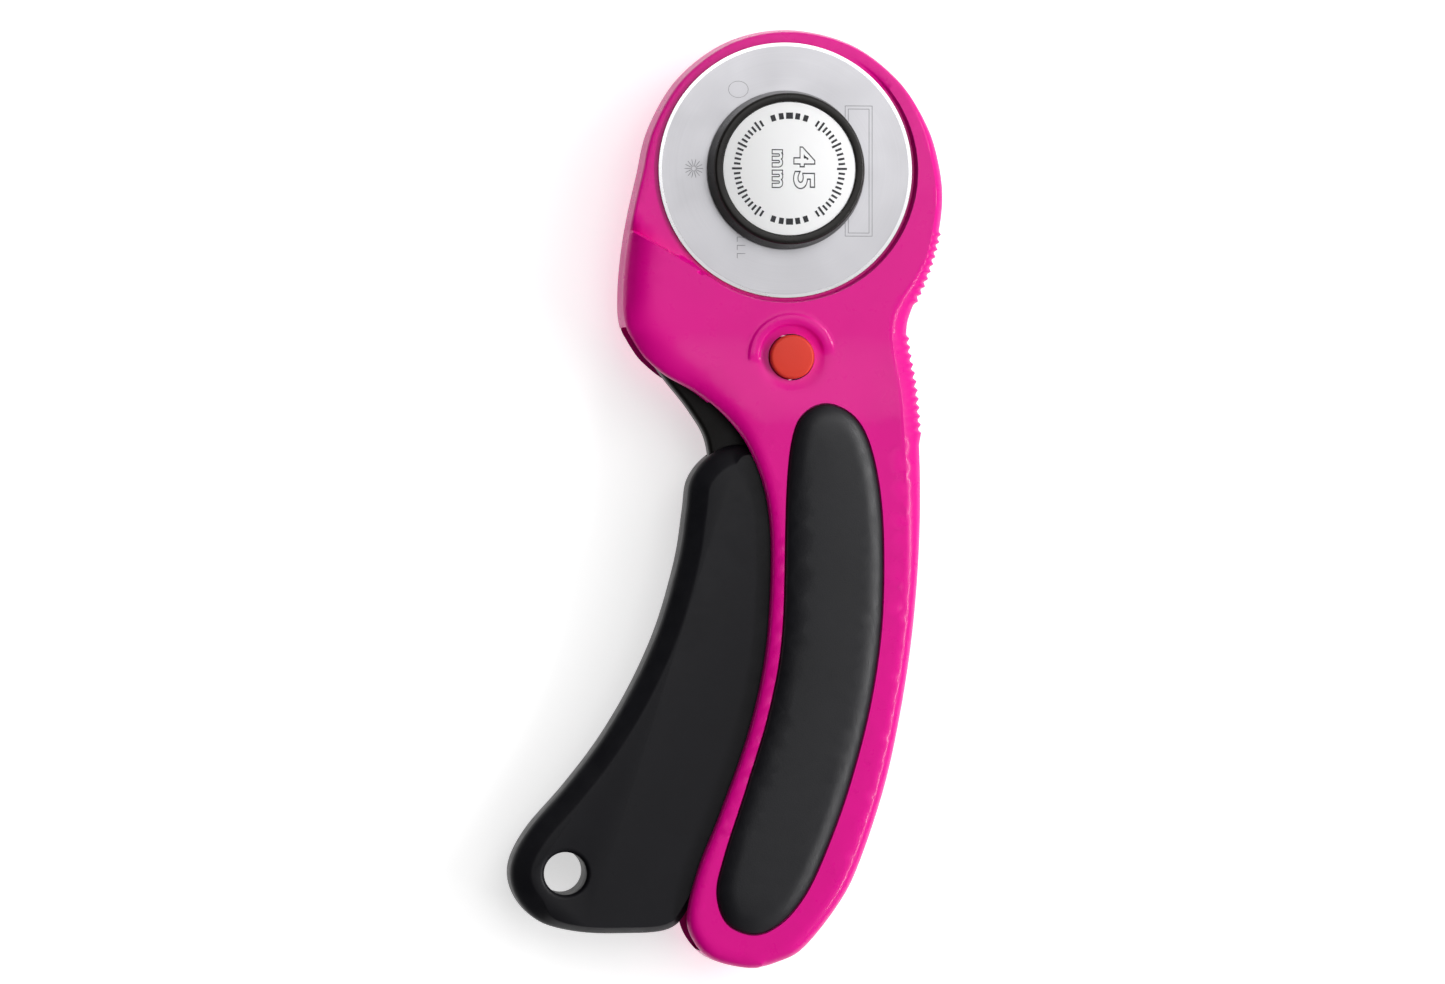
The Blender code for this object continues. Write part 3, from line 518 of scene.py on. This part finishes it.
def edge_drop(p, depth):
    """Fall of the surface towards the outline: round on the left, a crisp bevel along the spine."""
    width, drop = fillet_size(p)
    if depth >= width:
        return 0.0
    t = 1 - depth / width
    bevel = spine_bevel(p)
    start = 0.95 * t
    return drop * (bevel * t + (1 - bevel) * (1 - sqrt(1 - start * start)) / (1 - sqrt(1 - 0.95 ** 2)))


def face_height(p, depth):
    """Outer height of the front shell at p, `depth` inside the outline."""
    base = CHIN_FACE_Z + (HANDLE_FACE_Z - CHIN_FACE_Z) * smoothstep(-p.y, 30, 44)
    height = HEAD_FACE_Z + (base - HEAD_FACE_Z) * raised(p)
    off = p - Vector(BUTTON)
    reach = off.length
    height -= DIMPLE_DEPTH * (1 - smoothstep(reach, 4.1, 6.8))
    angle = degrees(atan2(off.y, off.x))
    if 5 < reach < 9 and -25 < angle < 210:
        ends = smoothstep(angle, 2, 22) * (1 - smoothstep(angle, 176, 194))
        height += HALO_HEIGHT * ends * smoothstep(reach, 5.4, 6.0) * (1 - smoothstep(reach, 7.3, 7.9))
    return height - edge_drop(p, depth)


def arc_points(radius, a0, a1, count):
    turns = [radians(a0 + (a1 - a0) * i / count) for i in range(count + 1)]
    return [Vector((radius * cos(a), radius * sin(a))) for a in turns]


def shell_block(name):
    """Half body as one closed skin: a height field, drafted side walls and a flat parting face."""
    base = fine_outline()
    outline = ribbed(base, 0.0)
    coarse = smooth_closed(BODY_OUTLINE, 4)
    inward = offset_closed(outline, 1.0)
    drafts = [SIDE_DRAFT * (0.4 + 0.6 * max(smoothstep(p.y, 2, 20),
                                            smoothstep(p.y, -138, -125) if left_side(p) else 0.0))
              for p in outline]
    points = [(p.lerp(q, d), 0.0) for p, q, d in zip(outline, inward, drafts)]
    edges = [(i, (i + 1) % len(outline)) for i in range(len(outline))]
    # the loops thin out with depth: loop depth to the number of outline points per loop point
    every = {1.7: 2, 2.3: 2, 3.0: 2, 3.9: 3, 5.0: 3, 6.1: 4}
    for depth in (0.06, 0.2, 0.42, 0.75, 1.2, 1.7, 2.3, 3.0, 3.9, 5.0, 6.1):
        loop = ribbed(offset_closed(base, depth), depth)
        loop = [p.lerp(q, d * max(0.0, 1 - depth / 1.7)) for p, q, d in zip(loop, inward, drafts)]
        points += [(p, depth) for p in loop[::every.get(depth, 1)]
                   if depth < 2 or edge_distance(p, coarse) > depth - 0.12]

    def feature(curve, closed=False):
        start = len(points)
        points.extend((p, None) for p in curve)
        last = len(curve) if closed else len(curve) - 1
        edges.extend((start + i, start + (i + 1) % len(curve)) for i in range(last))

    squeezed = Vector(turned((0, 0), SWING))
    edge = [squeezed + p for p in arc_points(BLADE_RADIUS + SWEEP_GAP, -104, -152, 48)]
    feature([p for p in edge
             if below_crease(p) < -0.2 and edge_distance(p, coarse) > 0.4 and inside(p, coarse)])
    feature([p.lerp(q, fillet_size(p)[0])
             for p, q in zip(base, offset_closed(base, 1.0)) if spine_bevel(p) > 0])
    for extra in (-0.15, -0.02, 0.1, 0.22, 0.35):
        feature(arc_points(RECESS_RADIUS + extra, 64, -146, 150))
    for radius in (4.16, 4.3, 4.6, 5.0, 5.4, 5.6, 5.8, 6.0, 6.6, 7.3, 7.5, 7.7, 7.9, 8.4):
        feature(circle(*BUTTON, radius, 56), True)
    sx, sy = CREASE_START
    ex, ey = CREASE_END
    for side in (-0.5, 0.0, 0.5):
        shift = side * Vector((-CREASE_DIRECTION[1], CREASE_DIRECTION[0]))
        line = [Vector((sx + (ex - sx) * i / 20, sy + (ey - sy) * i / 20)) + shift for i in range(21)]
        feature([p for p in line if edge_distance(p, coarse) > 0.5 and inside(p, coarse)
                 and p.length > RECESS_RADIUS + 0.6])
    step, left, bottom_y, wide, tall = 1.6, -29.5, -141.0, 58, 170
    for iy in range(int(tall / step)):
        for ix in range(int(wide / step)):
            p = Vector((left + step * (ix + 0.5 * (iy % 2)), bottom_y + step * iy))
            button = (p - Vector(BUTTON)).length
            if inside(p, coarse) and edge_distance(p, coarse) > 6.3 - 0.04 * step and button > 8.6:
                points.append((p, None))
    for radius in range(14, 23, 2):
        points += [(p, None) for p in circle(0, 0, radius, 40)]
    verts, _, faces, origin, _, _ = delaunay_2d_cdt(
        [p for p, _ in points], edges, [list(range(len(outline)))], 1, 1e-5)
    bm = bmesh.new()
    top, middle, bottom = [], [], []
    for i, p in enumerate(verts):
        depths = [points[s][1] for s in origin[i] if points[s][1] is not None]
        depth = depths[0] if depths else edge_distance(p, coarse)
        top.append(bm.verts.new(Vector((p.x, p.y, face_height(p, depth))) * MM))
        q = outline[origin[i][0]] if origin[i] and origin[i][0] < len(outline) else p
        middle.append(bm.verts.new(Vector((0.3 * p.x + 0.7 * q.x, 0.3 * p.y + 0.7 * q.y,
                                           0.5 * (MID_Z + face_height(p, depth)))) * MM))
        bottom.append(bm.verts.new(Vector((q.x, q.y, MID_Z + 0.04)) * MM))
    border = set()
    for face in faces:
        border.update((a, face[(k + 1) % len(face)]) for k, a in enumerate(face))
        bm.faces.new([top[k] for k in face])
    following = {a: b for a, b in border if (b, a) not in border}
    loop = [next(iter(following))]
    while following[loop[-1]] != loop[0]:
        loop.append(following[loop[-1]])
    for k, a in enumerate(loop):
        b = loop[(k + 1) % len(loop)]
        bm.faces.new((top[b], top[a], middle[a], middle[b]))
        bm.faces.new((middle[b], middle[a], bottom[a], bottom[b]))
    bm.faces.new([bottom[k] for k in loop])
    for k in set(range(len(verts))) - set(loop):
        bm.verts.remove(middle[k])
        bm.verts.remove(bottom[k])
    return new_object(name, bm, MAGENTA)


def slot_curve(radius, count=12):
    """Outline of the curved slot that the stud travels along."""
    px, py = PIVOT
    reach, first = hypot(px, py), atan2(-py, -px)

    def arc(r):
        return [Vector((px + r * cos(first + SWING * i / count), py + r * sin(first + SWING * i / count)))
                for i in range(count + 1)]

    turn = first + SWING
    end = Vector((px + reach * cos(turn), py + reach * sin(turn)))

    def cap(angle):
        return [radius * Vector((cos(angle + pi * k / 8), sin(angle + pi * k / 8))) for k in range(1, 8)]

    far = [end + p for p in cap(turn)]
    return arc(reach + radius) + far + list(reversed(arc(reach - radius))) + cap(first + pi)


def left_side(p):
    """True on the slot side of the handle's centre line."""
    return p.x < 10 + (p.y + 50) * 0.16 if p.y < -34 else p.x < -10


def body_shell():
    """Front half with its cavity, pad recess, stud slot and button hole."""
    shell = shell_block("body_front")
    below = MID_Z - 2
    inner = offset_closed(smooth_closed(BODY_OUTLINE, 4), WALL)
    opened = [Vector((p.x - 16, p.y)) if SLOT_END_Y < p.y < SLOT_TOP_Y and left_side(p) else p for p in inner]
    handle = clip_polygon(opened, 0, 1, -41.0)
    chin = clip_polygon(clip_polygon(opened, 0, 1, -10.0), 0, -1, 60)
    head = clip_polygon(inner, 0, -1, 40)
    disc = prism(circle(0, 0, RECESS_RADIUS + 1.3), below - 1, CHIN_INNER_Z + 1)
    wedge = prism([Vector(p) for p in CREASE_WEDGE], below - 2, CHIN_INNER_Z + 2)
    cutters = [prism(handle, below, HANDLE_INNER_Z), prism(head, below, HEAD_INNER_Z),
               combine(prism(chin, below, CHIN_INNER_Z), [disc, wedge], "DIFFERENCE"),
               prism(offset_closed(smooth_closed(PAD_OUTLINE, 8), -0.18), PAD_FLOOR_Z, pad_high.z + 2),
               prism(slot_curve(3.0), below, HEAD_FACE_Z + 2),
               prism(circle(*BUTTON, BUTTON_RADIUS + 0.2, 56, 0.01), below, CHIN_FACE_Z + 4)]
    combine(shell, cutters, "DIFFERENCE")
    shade(shell, 28)
    return shell


def pad_height(depth):
    """Rubber surface: a small round lip, a sloping shoulder and a slightly crowned middle."""
    lip, shoulder, crown = (1 - min(depth, reach) / reach for reach in (0.5, 3.3, 8.2))
    rise = 0.35 * sqrt(1 - lip * lip) + 0.95 * (1 - shoulder ** 2) + 0.55 * (1 - crown ** 2)
    return pad_high.z - 1.85 + rise


def pad_solid():
    """Rubber inlay: a height field over its outline, standing in the recess."""
    curve = offset_closed(smooth_closed(PAD_OUTLINE, 8), 0.04)
    coarse = curve[::3]
    points = [(p, 0.0) for p in curve]
    for depth in (0.06, 0.2, 0.45, 0.9, 1.5, 2.2, 2.9, 3.5):
        points += [(p, depth) for p in offset_closed(curve, depth)[::1 if depth < 1 else 2]
                   if edge_distance(p, curve) > depth - 0.05]
    for iy in range(90):
        for ix in range(30):
            p = Vector((-14 + 1.1 * (ix + 0.5 * (iy % 2)), -136 + 1.1 * iy))
            if inside(p, coarse) and edge_distance(p, curve) > 4.2:
                points.append((p, None))
    verts, _, faces, origin, _, _ = delaunay_2d_cdt(
        [p for p, _ in points], [(i, (i + 1) % len(curve)) for i in range(len(curve))],
        [list(range(len(curve)))], 1, 1e-5)
    bm = bmesh.new()
    top = []
    for i, p in enumerate(verts):
        depths = [points[k][1] for k in origin[i] if points[k][1] is not None]
        depth = depths[0] if depths else edge_distance(p, curve)
        top.append(bm.verts.new(Vector((p.x, p.y, pad_height(depth))) * MM))
    for face in faces:
        bm.faces.new([top[k] for k in face])
    wall = [e for e in bm.edges if len(e.link_faces) == 1]
    sides = bmesh.ops.extrude_edge_only(bm, edges=wall)["geom"]
    for v in [g for g in sides if isinstance(g, bmesh.types.BMVert)]:
        v.co.z = (PAD_FLOOR_Z + 0.3) * MM
    bmesh.ops.holes_fill(bm, edges=[e for e in bm.edges if len(e.link_faces) == 1])
    bmesh.ops.recalc_face_normals(bm, faces=bm.faces)
    return new_object("pad_front", bm, PAD_RUBBER, 60)


body = body_shell()
body_back = flip_z(body, "body_rear")
shade(body_back, 28)
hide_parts("front_shell")
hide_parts("rear_shell")
pad = pad_solid()
pad_back = flip_z(pad, "pad_rear")
shade(pad_back, 60)
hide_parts("front_grip_pad")
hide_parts("rear_grip_pad")
for piece in (body, body_back, pad, pad_back):
    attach(piece, "handle")


# ---------------------------------------------------------------- lever
arm = pillow(smooth_closed(ARM_OUTLINE, 8), arm_low.z, arm_high.z, 0.9, 0.9, "arm", ARM_PLASTIC, 5)
z0, z1 = arm_low.z - 1, arm_high.z + 1
combine(arm, [prism(circle(0, 0, 4.3), z0, z1), prism(circle(*PIVOT, 2.06), z0, z1),
              prism(circle(*BUTTON, LOCK_HOLE_RADIUS), z0, z1),
              prism(circle(*turned(BUTTON, -SWING), LOCK_HOLE_RADIUS, 64, 0.03), z0, z1)], "DIFFERENCE")
shade(arm, 30)
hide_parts("lever_arm")


def grip_block():
    """Thick grip with a wide bevel on the fingers' side and tighter edges elsewhere."""
    curve = smooth_closed(GRIP_OUTLINE, 8)
    away = offset_closed(curve, -1.0)
    shares = [0.34 + 0.66 * smoothstep((q - p).dot(Vector((-0.96, 0.28))), -0.15, 0.55)
              for p, q in zip(curve, away)]
    profile = [(0, 2.6), (0.12, 2.15), (0.4, 1.75), (0.9, 1.38), (1.7, 0.93),
               (2.5, 0.50), (3.2, 0.15), (3.45, 0.05), (3.7, 0.0)]
    rings = []
    for inset, fall in profile:
        ring = [p.lerp(q, share) for p, q, share in zip(curve, offset_closed(curve, inset), shares)]
        rings.append((ring, fall))
    levels = [(ring, grip_low.z + fall) for ring, fall in reversed(rings)]
    levels += [(ring, grip_high.z - fall) for ring, fall in rings]
    return loft_mesh(levels, "grip", GRIP_PLASTIC, 28)


grip = grip_block()
pocket = clip_polygon(offset_closed(smooth_closed(ARM_OUTLINE, 6), -0.2), 0, 1, TONGUE_TOP_Y)
flare = rounding(0.9, 0.9, 6)
rim = [(0, grip_low.z - 1), (HANG_HOLE_RADIUS + 1.2, grip_low.z - 1)]
rim += [(HANG_HOLE_RADIUS + wider, grip_low.z + deep - 0.001) for deep, wider in flare]
rim += [(HANG_HOLE_RADIUS + wider, grip_high.z - deep + 0.001) for deep, wider in reversed(flare)]
rim += [(HANG_HOLE_RADIUS + 1.2, grip_high.z + 1), (0, grip_high.z + 1)]
combine(grip, [prism(pocket, arm_low.z - 0.2, arm_high.z + 0.2),
               lathe(rim, "cutter", None, *HANG_HOLE, count=72)], "DIFFERENCE")
shade(grip, 30)
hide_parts("lever_grip")


# ---------------------------------------------------------------- blade, knob and label
def blade_disc():
    low, high = blade_low.z, blade_high.z
    mid = 0.5 * (low + high)
    face = BLADE_RADIUS - BLADE_BEVEL
    profile = [(4.0, low), (face, low), (BLADE_RADIUS, mid - 0.008), (BLADE_RADIUS, high - 0.035),
               (face + 0.03, high - 0.006), (face, high), (4.0, high)]
    disc = lathe(profile, "blade_disc", BLADE_FACE, count=240, smooth_angle=5)
    # the bevel ring takes the brighter steel: real polish plus a painted reflection
    disc.data.materials.append(BLADE_EDGE_SHEEN)
    for poly in disc.data.polygons:
        if hypot(poly.center.x, poly.center.y) > face * MM * 1.001:
            poly.material_index = 1
    return disc


disc = blade_disc()
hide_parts("blade")


def knob_solid():
    low, high, r = knob_low.z, knob_high.z, KNOB_RADIUS
    bore, bore_top, rim, seat = 2.8, 19.4, LABEL_RADIUS, high - 0.9
    profile = [(0, bore_top), (bore, bore_top), (bore, low)]
    profile += [(r - 0.7, low), (r - 0.25, low + 0.12), (r, low + 0.5)]
    profile += [(KNOB_TOP_RADIUS - inset, high - fall) for inset, fall in rounding(0.6, 0.6, 8)]
    profile += [(rim + 0.35, high), (rim + 0.2, high - 0.05), (rim + 0.13, high - 0.14), (rim + 0.08, seat),
                (0, seat)]
    return lathe(profile, "knob", KNOB_PLASTIC, count=160)


knob = knob_solid()
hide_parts("blade_knob")
label = lathe([(0, label_low.z), (LABEL_RADIUS - 0.15, label_low.z), (LABEL_RADIUS, label_low.z + 0.05),
               (LABEL_RADIUS, label_high.z - 0.04), (LABEL_RADIUS - 0.08, label_high.z), (0, label_high.z)],
              "label", LABEL_WHITE, count=160)
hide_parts("knob_label")


def outlined_text(text, size, x, stroke, stretch, name):
    """Size marking drawn as hollow glyphs, turned to read down the label."""
    curve = bpy.data.curves.new(name, "FONT")
    curve.body = text
    curve.size = size * MM
    curve.align_x, curve.align_y = "CENTER", "CENTER"
    curve.space_character = 1.22
    curve.fill_mode = "NONE"
    curve.offset = 0.16 * MM
    curve.bevel_depth = stroke * MM
    curve.bevel_resolution = 1
    temp = bpy.data.objects.new("temp", curve)
    bpy.context.scene.collection.objects.link(temp)
    bpy.context.view_layer.update()
    mesh = bpy.data.meshes.new_from_object(temp.evaluated_get(bpy.context.evaluated_depsgraph_get()))
    bpy.data.objects.remove(temp, do_unlink=True)
    place = (Matrix.Translation(Vector((x, 0, label_high.z)) * MM) @ Matrix.Rotation(-pi / 2, 4, "Z")
             @ Matrix.Diagonal((stretch, 1.0, 0.35, 1.0)))
    mesh.transform(place)
    obj = bpy.data.objects.new(name, mesh)
    bpy.context.scene.collection.objects.link(obj)
    mesh.materials.append(INK)
    return obj


digits = outlined_text("45", 4.9, 2.4, 0.09, 1.35, "size_digits")
unit = outlined_text("mm", 3.4, -1.9, 0.08, 1.2, "size_unit")


def tick_ring():
    """Ring of neutral printed marks round the label: two arcs of ticks and two short rows of blocks."""
    bm = bmesh.new()

    def bar(angle, r0, r1, half):
        d, t = Vector((cos(angle), sin(angle))), Vector((-sin(angle), cos(angle)))
        corners = [d * r0 - t * half, d * r1 - t * half, d * r1 + t * half, d * r0 + t * half]
        add_plate(bm, corners, label_high.z - 0.01, label_high.z + 0.03)

    for start in (0.0, pi):
        for i in range(23):
            a = start - radians(58) + radians(116) * i / 22
            tall = 1.75 if i % 5 == 1 else 1.15
            bar(a, 9.3 - tall / 2, 9.3 + tall / 2, 0.19)
        for i in range(5):
            a = start + pi / 2 - radians(18) + radians(36) * i / 4
            bar(a, 8.75, 9.85, 0.42 if i != 2 else 0.62)
    return new_object("label_marks", bm, INK)


marks = tick_ring()


def etched_marks():
    """Fine laser lines on the blade: an empty frame, a small burst, a loop and four corner strokes."""
    bm = bmesh.new()
    z = blade_high.z

    def stroke(x0, y0, x1, y1, half=0.045):
        a, b = Vector((x0, y0)), Vector((x1, y1))
        n = (b - a).normalized().orthogonal() * half
        along = (b - a).normalized() * half
        add_plate(bm, [a - n - along, b - n + along, b + n + along, a + n - along], z - 0.005, z + 0.006)

    for inset in (0.0, 0.55):
        x0, x1, y0, y1 = 10.6 + inset, 15.4 - inset, -11.6 + inset, 11.4 - inset
        for a, b in (((x0, y0), (x1, y0)), ((x1, y0), (x1, y1)), ((x1, y1), (x0, y1)), ((x0, y1), (x0, y0))):
            stroke(*a, *b)
    for k in range(14):
        a = 2 * pi * k / 14
        stroke(-16.3 + 0.4 * cos(a), 0.2 + 0.4 * sin(a), -16.3 + 1.6 * cos(a), 0.2 + 1.6 * sin(a))
    ring = [(-8.4 + 1.75 * cos(2 * pi * k / 28), 14.2 + 1.45 * sin(2 * pi * k / 28)) for k in range(28)]
    for k in range(28):
        stroke(*ring[k], *ring[(k + 1) % 28], 0.03)
    for k in range(4):
        y = -10.4 - 1.45 * k
        stroke(-8.6, y, -7.2, y)
        stroke(-8.6, y, -8.6, y - 0.8)
    return new_object("blade_marks", bm, ETCH)


etch = etched_marks()
for piece in (arm, grip, knob, label, digits, unit, marks):
    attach(piece, "lever")
for piece in (disc, etch):
    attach(piece, "blade")


# ---------------------------------------------------------------- lock button
def button_solid():
    low, high, r, neck = button_low.z, button_high.z, BUTTON_RADIUS, 2.3
    profile = [(0, low), (r - 0.8, low)]
    profile += [(r - 0.8 + 0.8 * sin(a), low + 0.8 * (1 - cos(a))) for a in (0.4, 0.8, 1.2, 0.5 * pi)]
    profile += [(r, 7.0), (neck, 7.0), (neck, 13.0), (r, 13.0)]
    profile += [(r - inset, high - 0.12 - fall) for inset, fall in rounding(0.55, 0.55, 8)]
    profile += [(r * 0.6, high - 0.03), (r * 0.3, high - 0.005), (0, high)]
    return lathe(profile, "button", ORANGE, *BUTTON, count=96, smooth_angle=40)


button = button_solid()
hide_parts("lock_button")
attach(button, "lock")


# ---------------------------------------------------------------- finger nut on the back
def nut_solid():
    """Finger nut with nine scallops and a ring groove."""
    rings = []
    for inset, z in ((1.4, 0.0), (0.7, 0.07), (0.3, 0.25), (0.08, 0.55), (0.0, 0.9), (0.0, 2.9), (0.1, 3.3),
                     (0.35, 3.5)):
        ring = []
        for i in range(216):
            a = 2 * pi * i / 216
            lobe = 0.5 * (1 + cos(9 * a))
            r = 11.0 - 1.1 * lobe ** 1.6 - inset
            ring.append(Vector((r * cos(a), r * sin(a))))
        rings.append((ring, z))
    nut = loft_mesh(rings, "nut", KNOB_PLASTIC, 35)
    ring = lathe([(6.2, -0.5), (7.4, -0.5), (7.4, 0.28), (7.2, 0.4), (6.4, 0.4), (6.2, 0.28)], "cutter", None)
    combine(nut, [prism(circle(0, 0, 5.3), 1.1, 4.6), ring], "DIFFERENCE")
    shade(nut, 35)
    return nut


nut = nut_solid()
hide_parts("rear_nut")
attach(nut, "nut")

for node, mat in (("pivot_pin", PART_STEEL), ("bolt_stud", PART_STEEL), ("arm_sleeve", PART_STEEL),
                  ("return_spring", SPRING_STEEL), ("lock_clip", SPRING_STEEL), ("wave_washer", SPRING_STEEL),
                  ("nut_insert", BRASS), ("blade_bush", NYLON), ("pivot_washer_front", NYLON),
                  ("pivot_washer_rear", NYLON)):
    data = frame["nodes"][node].data
    data.materials.clear()
    data.materials.append(mat)


# ---------------------------------------------------------------- floor, light and camera
def stage_floor():
    bm = bmesh.new()
    bmesh.ops.create_grid(bm, x_segments=2, y_segments=2, size=3.0)
    bmesh.ops.translate(bm, verts=bm.verts, vec=(0, 0, -0.0002))
    floor = new_object("stage_floor", bm)
    mat, nodes, links, bsdf = new_material("floor_white")
    coords = nodes.new("ShaderNodeTexCoord").outputs["Object"]
    tone = noise_node(nodes, links, coords, 3.0, 2.0)
    links.new(ramp(nodes, links, tone, [(0.3, (0.84, 0.84, 0.84, 1)), (0.7, (0.86, 0.86, 0.86, 1))]),
              bsdf.inputs["Base Color"])
    set_inputs(bsdf, Roughness=0.9, Specular_IOR_Level=0.1, Emission_Color=(1, 1, 1, 1),
               Emission_Strength=0.58)
    floor.data.materials.append(mat)


def area_light(name, location, target, size, power):
    data = bpy.data.lights.new(name, "AREA")
    data.shape = "RECTANGLE"
    data.size, data.size_y = size
    data.energy = power
    obj = bpy.data.objects.new(name, data)
    bpy.context.scene.collection.objects.link(obj)
    obj.location = location
    obj.rotation_mode = "QUATERNION"
    obj.rotation_quaternion = (Vector(target) - Vector(location)).to_track_quat("-Z", "Y")
    return obj


def studio():
    world = bpy.data.worlds.new("studio")
    bpy.context.scene.world = world
    world.use_nodes = True
    nodes, links = world.node_tree.nodes, world.node_tree.links
    background = nodes["Background"]
    coords = nodes.new("ShaderNodeTexCoord").outputs["Generated"]
    split = nodes.new("ShaderNodeSeparateXYZ")
    links.new(coords, split.inputs[0])
    side = nodes.new("ShaderNodeMapRange")
    side.interpolation_type = "SMOOTHSTEP"
    links.new(split.outputs["X"], side.inputs["Value"])
    for key, v in (("From Min", -0.55), ("From Max", 0.35), ("To Min", 0.025), ("To Max", 0.53)):
        side.inputs[key].default_value = v
    links.new(side.outputs["Result"], background.inputs["Strength"])
    background.inputs["Color"].default_value = (1, 1, 1, 1)
    centre = (-0.01, -0.057, 0.01)
    area_light("key_right", (0.75, 0.35, 0.75), centre, (0.9, 0.5), 2.6)
    area_light("strip_spine", (0.62, -0.05, 0.47), centre, (1.0, 0.06), 3.5)
    area_light("fill_top", (0.1, 0.45, 1.3), centre, (0.9, 0.9), 4.2)


def camera():
    """Nearly straight above, leaning a little towards the slot side."""
    yaw, distance = radians(6.5), 1.21
    back = Vector((-sin(yaw), 0, cos(yaw)))
    target = Vector((-0.0112, -0.0568, 0.0155))
    data = bpy.data.cameras.new("camera")
    data.sensor_width = 36.0
    data.lens = 171.0
    cam = bpy.data.objects.new("camera", data)
    bpy.context.scene.collection.objects.link(cam)
    cam.location = target + back * distance
    up = Vector((0, 1, 0))
    cam.rotation_mode = "QUATERNION"
    cam.rotation_quaternion = Matrix((up.cross(back), up, back)).transposed().to_quaternion()
    bpy.context.scene.camera = cam


stage_floor()
studio()
camera()
bpy.context.scene.view_settings.view_transform = "Standard"
